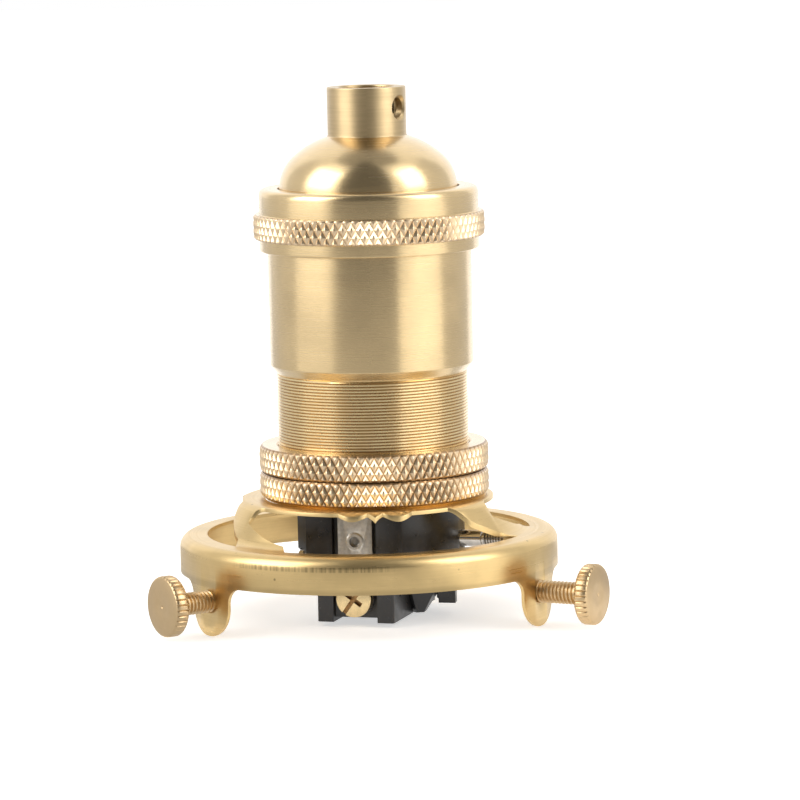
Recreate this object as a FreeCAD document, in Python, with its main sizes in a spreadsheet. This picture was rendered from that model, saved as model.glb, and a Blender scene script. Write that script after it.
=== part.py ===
import FreeCAD, Part
import math
import os
import re
import Sketcher
from FreeCAD import Placement, Rotation, Vector

# Brass lamp holder with a stamped shade fitter.
# The origin is the centre of the neck's mouth, +Z is up and -Y is the front.
# Heights are distances below the mouth, so every drawn height is negative.
# Azimuths are turned from the front (-Y) towards the right (+X), in degrees.

DIMENSIONS = [
    ("neck_radius", 6.83, "outside of the neck"),
    ("neck_bore_radius", 4.55, "M10 x 1 thread in the neck, as a plain bore"),
    ("neck_root_radius", 0.45, "cove between neck and dome"),
    ("grub_hole_radius", 1.75, "M4 hole in the neck's side"),
    ("grub_mouth_radius", 2.2, "countersink of that hole"),
    ("grub_mouth_depth", 0.45, "depth of the countersink"),
    ("grub_depth", 3.6, "height of the hole's axis"),
    ("grub_azimuth", 57, "side on which the hole opens"),
    ("dome_radius", 15.5, "foot of the dome"),
    ("dome_depth", 17.6, "level at which the dome turns vertical"),
    ("dome_wall", 1.2, "spun sheet of the cap"),
    ("haunch_radius", 7.6, "lower curve of the dome"),
    ("haunch_angle", 48, "turn of the lower curve"),
    ("crown_radius", 16, "upper curve of the dome"),
    ("flange_radius", 17.6, "flange that the coupling ring holds down"),
    ("flange_depth", 19.0, "top of the flange"),
    ("flange_thickness", 1.4, "flange"),
    ("ring_radius", 19.07, "plain lands of the coupling ring"),
    ("ring_top_depth", 17.3, "top of the coupling ring"),
    ("ring_corner_radius", 1.3, "rounded top corner of the coupling ring"),
    ("ring_lip_radius", 15.8, "hole in the ring's inward lip"),
    ("ring_bore_radius", 17.79, "bore below the lip"),
    ("ring_knurl_radius", 20.1, "knurled band of the coupling ring"),
    ("ring_knurl_top", 21.69, "top of that band"),
    ("ring_knurl_bottom", 26.0, "foot of that band"),
    ("ring_bottom_depth", 28.17, "foot of the coupling ring"),
    ("edge_break", 0.35, "chamfers of knurled bands and ring feet"),
    ("shell_radius", 17.71, "smooth part of the shell"),
    ("shell_bore_radius", 16.75, "bore of the smooth part"),
    ("shell_top_depth", 20.45, "upper edge of the shell"),
    ("shell_step_depth", 47.97, "foot of the smooth part"),
    ("shell_step_height", 1.25, "turned slope down to the thread"),
    ("thread_radius", 16.45, "shell thread, as a plain cylinder"),
    ("thread_bore_radius", 15.75, "bore behind the thread"),
    ("shoulder_depth", 48.0, "inner shoulder that carries the socket core"),
    ("shell_bottom_depth", 72.1, "lower edge of the shell"),
    ("nut_radius", 20.0, "knurled ring nuts"),
    ("nut_bore_radius", 16.5, "thread of the ring nuts, as a plain bore"),
    ("upper_nut_top", 61.95, "top of the upper nut"),
    ("upper_nut_bottom", 66.5, "foot of the upper nut"),
    ("lower_nut_top", 66.7, "top of the lower nut"),
    ("lower_nut_bottom", 71.3, "foot of the lower nut"),
    ("nut_edge", 0.45, "chamfers of the ring nuts"),
    ("nut_foot_edge", 0.9, "larger chamfer at the lower nut's foot"),
    ("sheet", 0.6, "stamped sheet of the shade fitter"),
    ("fitter_offset", 1.23, "the fitter hangs loose below the nuts, off centre to the left"),
    ("ear_spacing", 120, "angle from one ear or window to the next"),
    ("hub_hole_radius", 18.0, "hole round the shell's lower edge, with play"),
    ("hub_bend_start", 21.0, "radius at which the hub turns down"),
    ("arm_bend_radius", 2.8, "bends at both ends of an arm"),
    ("arm_slope", 55, "slope of the arms"),
    ("crest_radius", 28.2, "inner edge of the gallery"),
    ("crest_width", 1.3, "flat on top of the gallery"),
    ("gallery_radius", 33.0, "outside of the gallery skirt"),
    ("skirt_depth", 83.75, "foot of the skirt"),
    ("ear_depth", 92.6, "tips of the ears, on which the part stands"),
    ("ear_half_width", 5.7, "half of an ear's width"),
    ("ear_end_radius", 5.4, "rounding of an ear's end"),
    ("ear_root_radius", 2.8, "rounding between skirt and ear"),
    ("ear_azimuth", -57, "left ear; the others follow in thirds of a turn"),
    ("ear_hole_radius", 1.95, "M4 thread in an ear, as a plain hole"),
    ("screw_depth", 86.6, "height of the thumb screws' axes"),
    ("hub_edge_radius", 21.9, "edge of the hub along a window"),
    ("hub_end_rise", 2.4, "a window's left end, outside the hub's edge"),
    ("window_left_end", -58, "azimuth of a window's left end"),
    ("window_left_foot", -52.5, "azimuth where the hub's edge starts"),
    ("left_lobe_start", -13.5, "azimuths of the bracket's two lobes"),
    ("left_lobe_end", -0.5, "azimuths of the bracket's two lobes"),
    ("right_lobe_start", 6.5, "azimuths of the bracket's two lobes"),
    ("right_lobe_end", 20, "azimuths of the bracket's two lobes"),
    ("point_azimuth", 3, "azimuth of the bracket's tip"),
    ("window_right_foot", 38.5, "azimuth where the hub's edge ends"),
    ("window_right_crest", 66, "azimuths of a window at the gallery"),
    ("window_left_crest", -30.5, "azimuths of a window at the gallery"),
    ("right_bulge", 24.3, "where a window's right side turns along the arm"),
    ("right_bulge_azimuth", 46.5, "where a window's right side turns along the arm"),
    ("right_knee", 26.2, "where a window's right side turns out to the gallery"),
    ("right_knee_azimuth", 61, "where a window's right side turns out to the gallery"),
    ("left_knee", 26.4, "where a window's left side turns out to the gallery"),
    ("left_knee_azimuth", -33.5, "where a window's left side turns out to the gallery"),
    ("lobe_radius", 3.55, "round lobes of the bracket in a window"),
    ("point_radius", 22.95, "tip of the bracket"),
    ("window_corner_radius", 2.1, "rounded left end of a window"),
    ("window_side_radius", 20.0, "bowed sides of a window"),
    ("thumb_shank_radius", 1.9, "M4 shank, as a plain rod"),
    ("thumb_shank_length", 9.5, "shank below the head"),
    ("thumb_head_radius", 5.25, "disc head"),
    ("thumb_head_thickness", 2.4, "disc head"),
    ("thumb_edge", 0.25, "chamfer of the head"),
    ("thumb_tip", 0.4, "chamfer of the shank's tip"),
    ("flute_depth", 0.3, "straight flutes round the head"),
    ("flute_half_width", 0.6, "straight flutes, where they are drawn past the rim"),
    ("thumb_left_reach", 39.8, "axis to head, left screw"),
    ("thumb_right_reach", 41.4, "axis to head, right screw"),
    ("thumb_back_reach", 40.6, "axis to head, back screw"),
    ("core_turn", -17, "turn of the socket core about the axis"),
    ("core_radius", 15.6, "moulded core"),
    ("core_top_depth", 70.0, "joint between core body and cover"),
    ("drum_bottom_depth", 84.8, "foot of the round part"),
    ("core_foot_depth", 91.8, "feet of the core"),
    ("core_front", 13.0, "flat front and back of the core"),
    ("core_flat", 10.6, "flat left side of the core"),
    ("block_half_width", 6.9, "terminal blocks"),
    ("block_inner", 1.3, "inner face of the terminal blocks"),
    ("recess_half_width", 3.95, "recess of a terminal"),
    ("recess_floor", 11.6, "floor of that recess"),
    ("recess_rise", 0.7, "floor wall stops this far above the feet"),
    ("recess_foot", 5.3, "inner face of the step at the foot of a recess"),
    ("web_half_thickness", 4.3, "web between the terminal blocks"),
    ("moulding_round", 0.5, "rounded corners of the moulding"),
    ("barrier_inner", 6.6, "inner side of a side barrier's foot"),
    ("barrier_edge", 7.6, "front edge of a side barrier's foot"),
    ("barrier_outer", 8.7, "outer side of a side barrier's foot"),
    ("barrier_half", 0.6, "half of a side barrier's foot, along its sides"),
    ("barrier_front", 1.3, "front edge of a side barrier's foot"),
    ("barrier_draft", 30, "side barriers widen upwards by this"),
    ("lug_radius", 14.0, "outside of the skirt lug"),
    ("lug_thickness", 3.0, "skirt lug"),
    ("lug_start", 94, "azimuths of the skirt lug"),
    ("lug_end", 124, "azimuths of the skirt lug"),
    ("lug_rise", 1.5, "the lug stops this far above the feet"),
    ("boss_radius", 4.6, "boss in the middle of the foot"),
    ("boss_rise", 1.6, "the boss stops this far above the feet"),
    ("slot_wall", 2.4, "depth of the passage for the front strip's tab"),
    ("moulded_clearance", 0.1, "room round a strip in the moulding"),
    ("cover_thickness", 2.5, "insulating cover on the core"),
    ("strip_half_width", 3.1, "terminal strips"),
    ("strip_thickness", 0.8, "terminal strips"),
    ("strip_bottom_depth", 90.7, "foot of the strips"),
    ("strip_end_radius", 3.0, "rounded foot of the strips, hidden by the screw's head"),
    ("front_tab_drop", 1.5, "front strip's tab, below the cover"),
    ("front_tab_end", 4.5, "end of the front strip's tab, from the axis"),
    ("back_tab_end", 6.2, "end of the back strip's tab, from the axis"),
    ("terminal_depth", 87.6, "axes of the terminal screws"),
    ("terminal_head_radius", 3.15, "terminal screws"),
    ("terminal_head_height", 1.7, "terminal screws"),
    ("terminal_shank_radius", 1.5, "M3 shank of the terminal screws"),
    ("terminal_shank_length", 6.5, "M3 shank of the terminal screws"),
    ("terminal_edge", 0.3, "chamfer of the terminal screws"),
    ("cross_half_length", 1.5, "cross arm beside the terminal screws' slot"),
    ("small_clearance", 0.06, "running fit round small shanks"),
    ("slot_half_width", 0.4, "screwdriver slots"),
    ("slot_depth", 0.7, "screwdriver slots"),
    ("eyelet_depth", 77.8, "axes of the eyelets through the strips"),
    ("eyelet_radius", 1.35, "tube of an eyelet"),
    ("eyelet_bore_radius", 0.95, "hole through an eyelet"),
    ("eyelet_rim_radius", 1.65, "rolled rim of an eyelet"),
    ("eyelet_rim_height", 0.15, "rolled rim of an eyelet"),
    ("eyelet_length", 3.2, "eyelet below its rim"),
    ("shaft_depth", 78.6, "axis of the switch shaft"),
    ("shaft_radius", 1.4, "plain part of the shaft"),
    ("shaft_stub_radius", 1.3, "threaded end, as a plain rod"),
    ("shaft_inner_end", 8.5, "blind end of the shaft, left of the axis"),
    ("shaft_step", 19.4, "end of the plain part"),
    ("shaft_outer_end", 23.6, "outer end of the shaft"),
    ("shaft_edge", 0.3, "chamfer of the shaft's end"),
    ("rotor_radius", 4.0, "switch rotor"),
    ("rotor_left", 3.5, "switch rotor, left of the axis"),
    ("rotor_right", 5.0, "switch rotor, right of the axis"),
    ("rotor_flat", 2.9, "cam flats of the rotor"),
    ("chamber_left", 6.0, "switch chamber"),
    ("chamber_right", 7.0, "switch chamber"),
    ("chamber_half_width", 5.5, "switch chamber"),
    ("chamber_floor_depth", 83.6, "switch chamber"),
    ("sleeve_radius", 15.3, "moulded sleeve round the lamp screw shell"),
    ("sleeve_bore_radius", 13.95, "moulded sleeve"),
    ("sleeve_flange_radius", 16.45, "flange that hangs on the shoulder"),
    ("sleeve_top_depth", 46.4, "top of the flange"),
    ("lamp_thread_radius", 13.35, "crest of the rolled lamp thread, inside"),
    ("lamp_thread_depth", 0.85, "depth of the rolled lamp thread"),
    ("lamp_pitch", 3.62, "pitch of the rolled lamp thread"),
    ("lamp_wall", 0.45, "rolled sheet of the screw shell"),
    ("lamp_lip_radius", 14.8, "turned-out lip of the screw shell"),
    ("lamp_floor_hole", 6.0, "hole in the screw shell's floor"),
    ("lamp_plain_rim", 1.2, "plain rim above the rolled thread"),
    ("contact_stem_radius", 1.9, "stem of the centre contact"),
    ("contact_foot_radius", 4.4, "foot of the centre contact"),
    ("tongue_half_width", 2.2, "springy tongue of the centre contact"),
    ("contact_stem_end", 0.8, "stem below the cover"),
    ("contact_foot_height", 0.6, "foot of the centre contact"),
    ("tongue_root_left", 3.6, "tongue, left of the axis"),
    ("tongue_root_right", 2.6, "tongue, left of the axis"),
    ("tongue_root_rise", 0.3, "tongue above the cover"),
    ("tongue_tip", 3.2, "tongue's top edge, right of the axis"),
    ("tongue_tip_rise", 4.6, "tongue above the cover"),
    ("tongue_end", 3.8, "tongue's end, right of the axis"),
    ("tongue_end_rise", 4.3, "tongue above the cover"),
    ("tongue_under", 3.5, "tongue's lower edge, right of the axis"),
    ("tongue_under_rise", 4.0, "tongue above the cover"),
    ("leaf_half_length", 2.4, "foot of the switch spring"),
    ("leaf_thickness", 0.4, "switch spring"),
    ("leaf_bend", 1.7, "bend of the leaf, left of the axis"),
    ("leaf_tip", 0.2, "tip of the leaf, right of the axis"),
    ("leaf_drop", 3.7, "tip of the leaf below its foot"),
    ("side_screw_azimuth", -40, "side screw on the core's left front corner"),
    ("side_screw_depth", 81.2, "side screw's axis"),
    ("side_seat_reach", 14.0, "spot-faced seat of the side screw, from the axis"),
    ("side_seat_radius", 2.1, "spot-faced seat of the side screw"),
    ("side_head_radius", 1.8, "side screw"),
    ("side_head_height", 1.2, "side screw"),
    ("side_edge", 0.3, "chamfer of the side screw"),
    ("side_shank_radius", 1.0, "M2 shank of the side screw"),
    ("side_shank_length", 2.9, "M2 shank of the side screw"),
    ("rivet_reach", 8.2, "rivets of the screw shell, from the axis"),
    ("rivet_radius", 1.0, "rivets of the screw shell"),
    ("rivet_head_radius", 1.7, "rivets of the screw shell"),
    ("rivet_crown_radius", 1.02, "flat crown of the rivets' heads"),
    ("rivet_head_height", 0.6, "rivets of the screw shell"),
    ("beyond", 1.0, "how far a cutting outline reaches past the surface"),
]

# how close, in mm, a found edge must come to the place or length looked for
NEAR = 0.01
ROUGHLY = 0.05
FLUTE_COUNT = 26
THIRDS = 3
LAMP_TURNS = 4
CAM_FLATS = 4

doc = FreeCAD.newDocument("lamp_holder")
sheet = doc.addObject("Spreadsheet::Sheet", "Sizes")
for row, (alias, size, note) in enumerate(DIMENSIONS, start=1):
    sheet.set(f"A{row}", note)
    sheet.set(f"B{row}", str(size))
    sheet.setAlias(f"B{row}", alias)
doc.recompute()

ALIASES = {alias for alias, size, note in DIMENSIONS}
PARTS = []


def bound(expression):
    """The expression with each dimension's name turned into its cell."""

    def cell(word):
        return "Sizes." + word[0] if word[0] in ALIASES else word[0]

    return re.sub(r"[a-z_]+", cell, str(expression))


def number(expression):
    return float(sheet.evalExpression(bound(expression)))


def polar(radius, azimuth):
    """A point of the plan, from its radius and azimuth."""
    return f"({radius}) * sin({azimuth})", f"-({radius}) * cos({azimuth})"


def new_body(label, turned=None):
    """A body for one piece; turned is an expression for its angle about the axis."""
    body = doc.addObject("PartDesign::Body", label)
    body.Label = label
    if turned is not None:
        body.Placement = Placement(Vector(), Rotation(Vector(0, 0, 1), number(turned)))
        body.setExpression("Placement.Rotation.Angle", bound(turned))
    PARTS.append(body)
    return body


def origin_feature(body, role):
    return next(feature for feature in body.Origin.OriginFeatures if feature.Role == role)


def new_sketch(body, name, plane="XZ_Plane", offset="0", turn=None):
    """A sketch on an origin plane, moved along its normal, or turned about the axis."""
    sketch = body.newObject("Sketcher::SketchObject", name)
    sketch.AttachmentSupport = [(origin_feature(body, plane), "")]
    sketch.MapMode = "FlatFace"
    if turn is not None:
        # the sketch's own vertical direction is the part's axis
        sketch.AttachmentOffset = Placement(Vector(), Rotation(Vector(0, 1, 0), number(turn)))
        sketch.setExpression("AttachmentOffset.Rotation.Angle", bound(turn))
    else:
        sketch.AttachmentOffset = Placement(Vector(0, 0, number(offset)), Rotation())
        sketch.setExpression("AttachmentOffset.Base.z", bound(offset))
    return sketch


def arc_centre(start, end, radius, side):
    """Centre of a short arc; side is +1 when it lies left of the way from start to end."""
    chord = end - start
    middle = (start + end) * 0.5
    left = Vector(-chord.y, chord.x, 0).normalize()
    rise = math.sqrt(max(radius ** 2 - (chord.Length / 2) ** 2, 0))
    return middle + left * (side * rise)


def draw_outline(sketch, corners, arcs=None):
    """A closed outline. arcs[i] = (radius, side) bends the stretch after corner i."""
    arcs = arcs or {}
    points = [Vector(number(across), number(along), 0) for across, along in corners]
    count = len(points)
    ends = []
    for index, start in enumerate(points):
        end = points[(index + 1) % count]
        if index not in arcs:
            geometry = sketch.addGeometry(Part.LineSegment(start, end), False)
            ends.append((geometry, 1, 2))
            continue
        radius, side = arcs[index]
        centre = arc_centre(start, end, number(radius), side)
        first, last = (start, end) if side > 0 else (end, start)
        first_angle = math.atan2(first.y - centre.y, first.x - centre.x)
        last_angle = math.atan2(last.y - centre.y, last.x - centre.x)
        circle = Part.Circle(centre, Vector(0, 0, 1), number(radius))
        geometry = sketch.addGeometry(Part.ArcOfCircle(circle, first_angle, last_angle), False)
        ends.append((geometry, 1, 2) if side > 0 else (geometry, 2, 1))
    for index in range(count):
        geometry, first_end, last_end = ends[index]
        next_geometry, next_first, next_last = ends[(index + 1) % count]
        sketch.addConstraint(Sketcher.Constraint("Coincident", geometry, last_end, next_geometry, next_first))
    for index, (across, along) in enumerate(corners):
        geometry, first_end, last_end = ends[index]
        for kind, expression in (("DistanceX", across), ("DistanceY", along)):
            rule = Sketcher.Constraint(kind, -1, 1, geometry, first_end, number(expression))
            bind_rule(sketch, rule, f"{kind}_{index}", expression)
        if index in arcs:
            radius = arcs[index][0]
            rule = Sketcher.Constraint("Radius", geometry, number(radius))
            bind_rule(sketch, rule, f"Radius_{index}", radius)


def bind_rule(sketch, rule, name, expression):
    position = sketch.addConstraint(rule)
    sketch.renameConstraint(position, name)
    sketch.setExpression(f"Constraints.{name}", bound(expression))


def draw_circle(sketch, radius, across="0", along="0"):
    centre = Vector(number(across), number(along), 0)
    geometry = sketch.addGeometry(Part.Circle(centre, Vector(0, 0, 1), number(radius)), False)
    bind_rule(sketch, Sketcher.Constraint("Radius", geometry, number(radius)), f"Radius_{geometry}", radius)
    for kind, expression in (("DistanceX", across), ("DistanceY", along)):
        rule = Sketcher.Constraint(kind, -1, 1, geometry, 3, number(expression))
        bind_rule(sketch, rule, f"{kind}_{geometry}", expression)


def rectangle(left, right, low, high):
    return [(left, low), (right, low), (right, high), (left, high)]


def revolve(body, name, corners, arcs=None, axis="V_Axis", plane="XZ_Plane"):
    sketch = new_sketch(body, name + "_profile", plane)
    draw_outline(sketch, corners, arcs)
    feature = body.newObject("PartDesign::Revolution", name)
    feature.Profile = sketch
    feature.ReferenceAxis = (sketch, [axis])
    feature.Angle = 360
    sketch.Visibility = False
    return feature


def extrude(body, kind, name, sketch, length, side="One side", backwards=False):
    """A Pad or a Pocket of one sketch; length is an expression, or None for all the way."""
    feature = body.newObject("PartDesign::" + kind, name)
    feature.Profile = sketch
    feature.SideType = side
    feature.Reversed = backwards
    if length is None:
        feature.Type = "ThroughAll"
    else:
        feature.setExpression("Length", bound(length))
    return feature


def pad(body, name, corners, low, high, arcs=None):
    """An upright block between two heights."""
    sketch = new_sketch(body, name + "_plan", "XY_Plane", low)
    draw_outline(sketch, corners, arcs)
    return extrude(body, "Pad", name, sketch, f"({high}) - ({low})")


def pad_disc(body, name, radius, low, high):
    sketch = new_sketch(body, name + "_plan", "XY_Plane", low)
    draw_circle(sketch, radius)
    return extrude(body, "Pad", name, sketch, f"({high}) - ({low})")


def sink(body, name, corners, low, high, arcs=None):
    """An upright pocket between two heights."""
    sketch = new_sketch(body, name + "_plan", "XY_Plane", high)
    draw_outline(sketch, corners, arcs)
    return extrude(body, "Pocket", name, sketch, f"({high}) - ({low})")


def bore_seat(body, name, azimuth, corners):
    """A stepped hole at an azimuth; the first side of its half outline lies on the hole's axis."""
    sketch = new_sketch(body, name + "_profile", "XZ_Plane", turn=f"{azimuth} - 90")
    draw_outline(sketch, corners)
    hole = body.newObject("PartDesign::Groove", name)
    hole.Profile = sketch
    hole.ReferenceAxis = (sketch, ["Edge1"])
    hole.Angle = 360
    return hole


def polar_pattern(body, name, originals, count, axis="Z_Axis"):
    pattern = body.newObject("PartDesign::PolarPattern", name)
    pattern.Originals = originals
    pattern.Axis = (origin_feature(body, axis), [""])
    pattern.Angle = 360
    pattern.Occurrences = count
    body.Tip = pattern
    return pattern


def edges_where(feature, test):
    """Names of the feature's edges whose middle and length pass the test."""
    doc.recompute()
    names = []
    for index, edge in enumerate(feature.Shape.Edges, start=1):
        middle = edge.valueAt((edge.FirstParameter + edge.LastParameter) / 2)
        if test(edge, middle):
            names.append(f"Edge{index}")
    if not names:
        raise ValueError(f"{feature.Label}: no edge to break")
    return names


def circles_at(radius, depth):
    """Test for whole circles about the axis at one radius and depth."""
    wanted_radius = number(radius)
    wanted_height = -number(depth)

    def test(edge, middle):
        if not isinstance(edge.Curve, Part.Circle):
            return False
        near = abs(edge.Curve.Radius - wanted_radius) < NEAR
        return near and abs(middle.z - wanted_height) < NEAR

    return test


def break_edges(body, kind, name, test, size):
    """A fillet or chamfer on the tip's edges that pass the test."""
    base = body.Tip
    names = edges_where(base, test)
    feature = body.newObject("PartDesign::" + kind, name)
    feature.Base = (base, names)
    feature.setExpression("Radius" if kind == "Fillet" else "Size", bound(size))
    return feature


def ring_profile(bore, radius, top, bottom):
    return rectangle(bore, radius, f"-{bottom}", f"-{top}")


# Cap: a spun dome with a solid threaded neck and a flange at its foot


def make_top_cap():
    body = new_body("top_cap")
    haunch_centre = "(dome_radius - haunch_radius)"
    outer_join = (
        f"{haunch_centre} + haunch_radius * cos(haunch_angle)",
        "haunch_radius * sin(haunch_angle) - dome_depth",
    )
    inner_join = (
        f"{haunch_centre} + (haunch_radius - dome_wall) * cos(haunch_angle)",
        "(haunch_radius - dome_wall) * sin(haunch_angle) - dome_depth",
    )
    crown_across = f"({haunch_centre} + (haunch_radius - crown_radius) * cos(haunch_angle))"
    crown_along = "((haunch_radius - crown_radius) * sin(haunch_angle) - dome_depth)"
    inner_crown = "crown_radius - dome_wall"
    dome_top = f"{crown_along} + sqrt(crown_radius ^ 2 - (neck_radius - {crown_across}) ^ 2)"
    bore_end = f"{crown_along} + sqrt(({inner_crown}) ^ 2 - (neck_bore_radius - {crown_across}) ^ 2)"
    corners = [
        ("neck_bore_radius", "0"),
        ("neck_bore_radius", bore_end),
        inner_join,
        ("dome_radius - dome_wall", "-dome_depth"),
        ("dome_radius - dome_wall", "-(flange_depth + flange_thickness)"),
        ("flange_radius", "-(flange_depth + flange_thickness)"),
        ("flange_radius", "-flange_depth"),
        ("dome_radius", "-flange_depth"),
        ("dome_radius", "-dome_depth"),
        outer_join,
        ("neck_radius", dome_top),
        ("neck_radius", "0"),
    ]
    arcs = {
        1: (inner_crown, -1),
        2: ("haunch_radius - dome_wall", -1),
        8: ("haunch_radius", 1),
        9: ("crown_radius", 1),
    }
    revolve(body, "cap_turning", corners, arcs)
    root_height = number(dome_top)
    bore = number("neck_bore_radius")

    def neck_root(edge, middle):
        return abs(middle.z - root_height) < NEAR and math.hypot(middle.x, middle.y) > bore + NEAR

    break_edges(body, "Fillet", "neck_root", neck_root, "neck_root_radius")
    bore_seat(
        body,
        "grub_hole",
        "grub_azimuth",
        [
            ("0", "-grub_depth"),
            ("neck_radius + beyond", "-grub_depth"),
            ("neck_radius + beyond", "grub_mouth_radius - grub_depth"),
            ("neck_radius", "grub_mouth_radius - grub_depth"),
            ("neck_radius - grub_mouth_depth", "grub_hole_radius - grub_depth"),
            ("0", "grub_hole_radius - grub_depth"),
        ],
    )
    return body


# Coupling ring: turned ring whose inward lip holds the cap's flange on the shell


def make_coupling_ring():
    body = new_body("coupling_ring")
    corners = [
        ("ring_lip_radius", "-flange_depth"),
        ("ring_bore_radius", "-flange_depth"),
        ("ring_bore_radius", "-ring_bottom_depth"),
        ("ring_radius", "-ring_bottom_depth"),
        ("ring_radius", "-ring_knurl_bottom"),
        ("ring_knurl_radius", "-ring_knurl_bottom"),
        ("ring_knurl_radius", "-ring_knurl_top"),
        ("ring_radius", "-ring_knurl_top"),
        ("ring_radius", "-(ring_top_depth + ring_corner_radius)"),
        ("ring_radius - ring_corner_radius", "-ring_top_depth"),
        ("ring_lip_radius", "-ring_top_depth"),
    ]
    revolve(body, "ring_turning", corners, {8: ("ring_corner_radius", 1)})
    for name, radius, depth in (
        ("knurl_top_edge", "ring_knurl_radius", "ring_knurl_top"),
        ("knurl_foot_edge", "ring_knurl_radius", "ring_knurl_bottom"),
        ("ring_foot_edge", "ring_radius", "ring_bottom_depth"),
    ):
        break_edges(body, "Chamfer", name, circles_at(radius, depth), "edge_break")
    return body


# Shell: turned tube, smooth above and threaded below, with an inner shoulder


def make_outer_shell():
    body = new_body("outer_shell")
    corners = [
        ("shell_bore_radius", "-shell_top_depth"),
        ("shell_bore_radius", "-shoulder_depth"),
        ("thread_bore_radius", "-shoulder_depth"),
        ("thread_bore_radius", "-shell_bottom_depth"),
        ("thread_radius", "-shell_bottom_depth"),
        ("thread_radius", "-(shell_step_depth + shell_step_height)"),
        ("shell_radius", "-shell_step_depth"),
        ("shell_radius", "-shell_top_depth"),
    ]
    revolve(body, "shell_turning", corners)
    return body


# Ring nuts: knurled rings on the shell's thread


def make_ring_nut(label, top, bottom, foot_edge):
    body = new_body(label)
    revolve(body, label + "_turning", ring_profile("nut_bore_radius", "nut_radius", top, bottom))
    break_edges(body, "Chamfer", label + "_top_edge", circles_at("nut_radius", top), "nut_edge")
    break_edges(body, "Chamfer", label + "_foot_edge", circles_at("nut_radius", bottom), foot_edge)
    return body


# Shade fitter: one stamped sheet with a hub, three swept arms, a gallery and three ears


def fitter_profile():
    run = "(arm_bend_radius * sin(arm_slope))"
    drop = "(arm_bend_radius * (1 - cos(arm_slope)))"
    slope_run = f"(crest_radius - hub_bend_start - 2 * {run})"
    crest = f"(-lower_nut_bottom - 2 * {drop} - {slope_run} * tan(arm_slope))"
    shoulder = "(gallery_radius - crest_radius - crest_width)"
    tight_run = "((arm_bend_radius - sheet) * sin(arm_slope))"
    tight_drop = "((arm_bend_radius - sheet) * (1 - cos(arm_slope)))"
    wide_run = "((arm_bend_radius + sheet) * sin(arm_slope))"
    wide_drop = "((arm_bend_radius + sheet) * (1 - cos(arm_slope)))"
    corners = [
        ("hub_hole_radius", "-lower_nut_bottom"),
        ("hub_hole_radius", "-lower_nut_bottom - sheet"),
        ("hub_bend_start", "-lower_nut_bottom - sheet"),
        (f"hub_bend_start + {tight_run}", f"-lower_nut_bottom - sheet - {tight_drop}"),
        (f"crest_radius - {wide_run}", f"{crest} - sheet + {wide_drop}"),
        ("crest_radius", f"{crest} - sheet"),
        ("crest_radius + crest_width", f"{crest} - sheet"),
        ("gallery_radius - sheet", f"{crest} - {shoulder}"),
        ("gallery_radius - sheet", "-ear_depth"),
        ("gallery_radius", "-ear_depth"),
        ("gallery_radius", f"{crest} - {shoulder}"),
        ("crest_radius + crest_width", crest),
        ("crest_radius", crest),
        (f"crest_radius - {run}", f"{crest} + {drop}"),
        (f"hub_bend_start + {run}", f"-lower_nut_bottom - {drop}"),
        ("hub_bend_start", "-lower_nut_bottom"),
    ]
    arcs = {
        2: ("arm_bend_radius - sheet", -1),
        4: ("arm_bend_radius + sheet", 1),
        6: (f"{shoulder} - sheet", -1),
        10: (shoulder, 1),
        12: ("arm_bend_radius", -1),
        14: ("arm_bend_radius", 1),
    }
    return corners, arcs


def window_outline():
    """Opening between two arms: a bracket on the hub's edge and swept sides."""
    hub = "hub_edge_radius"
    corners = [
        polar("hub_edge_radius + hub_end_rise", "window_left_end"),
        polar(hub, "window_left_foot"),
        polar(hub, "left_lobe_start"),
        polar(hub, "left_lobe_end"),
        polar("point_radius", "point_azimuth"),
        polar(hub, "right_lobe_start"),
        polar(hub, "right_lobe_end"),
        polar(hub, "window_right_foot"),
        polar("right_bulge", "right_bulge_azimuth"),
        polar("right_knee", "right_knee_azimuth"),
        polar("crest_radius", "window_right_crest"),
        polar("crest_radius", "window_left_crest"),
        polar("left_knee", "left_knee_azimuth"),
    ]
    arcs = {
        0: ("window_corner_radius", -1),
        1: (hub, 1),
        2: ("lobe_radius", 1),
        5: ("lobe_radius", 1),
        6: (hub, 1),
        7: ("window_side_radius", 1),
        8: ("window_side_radius", 1),
        10: ("crest_radius", -1),
        12: ("window_side_radius", -1),
    }
    return corners, arcs


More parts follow.
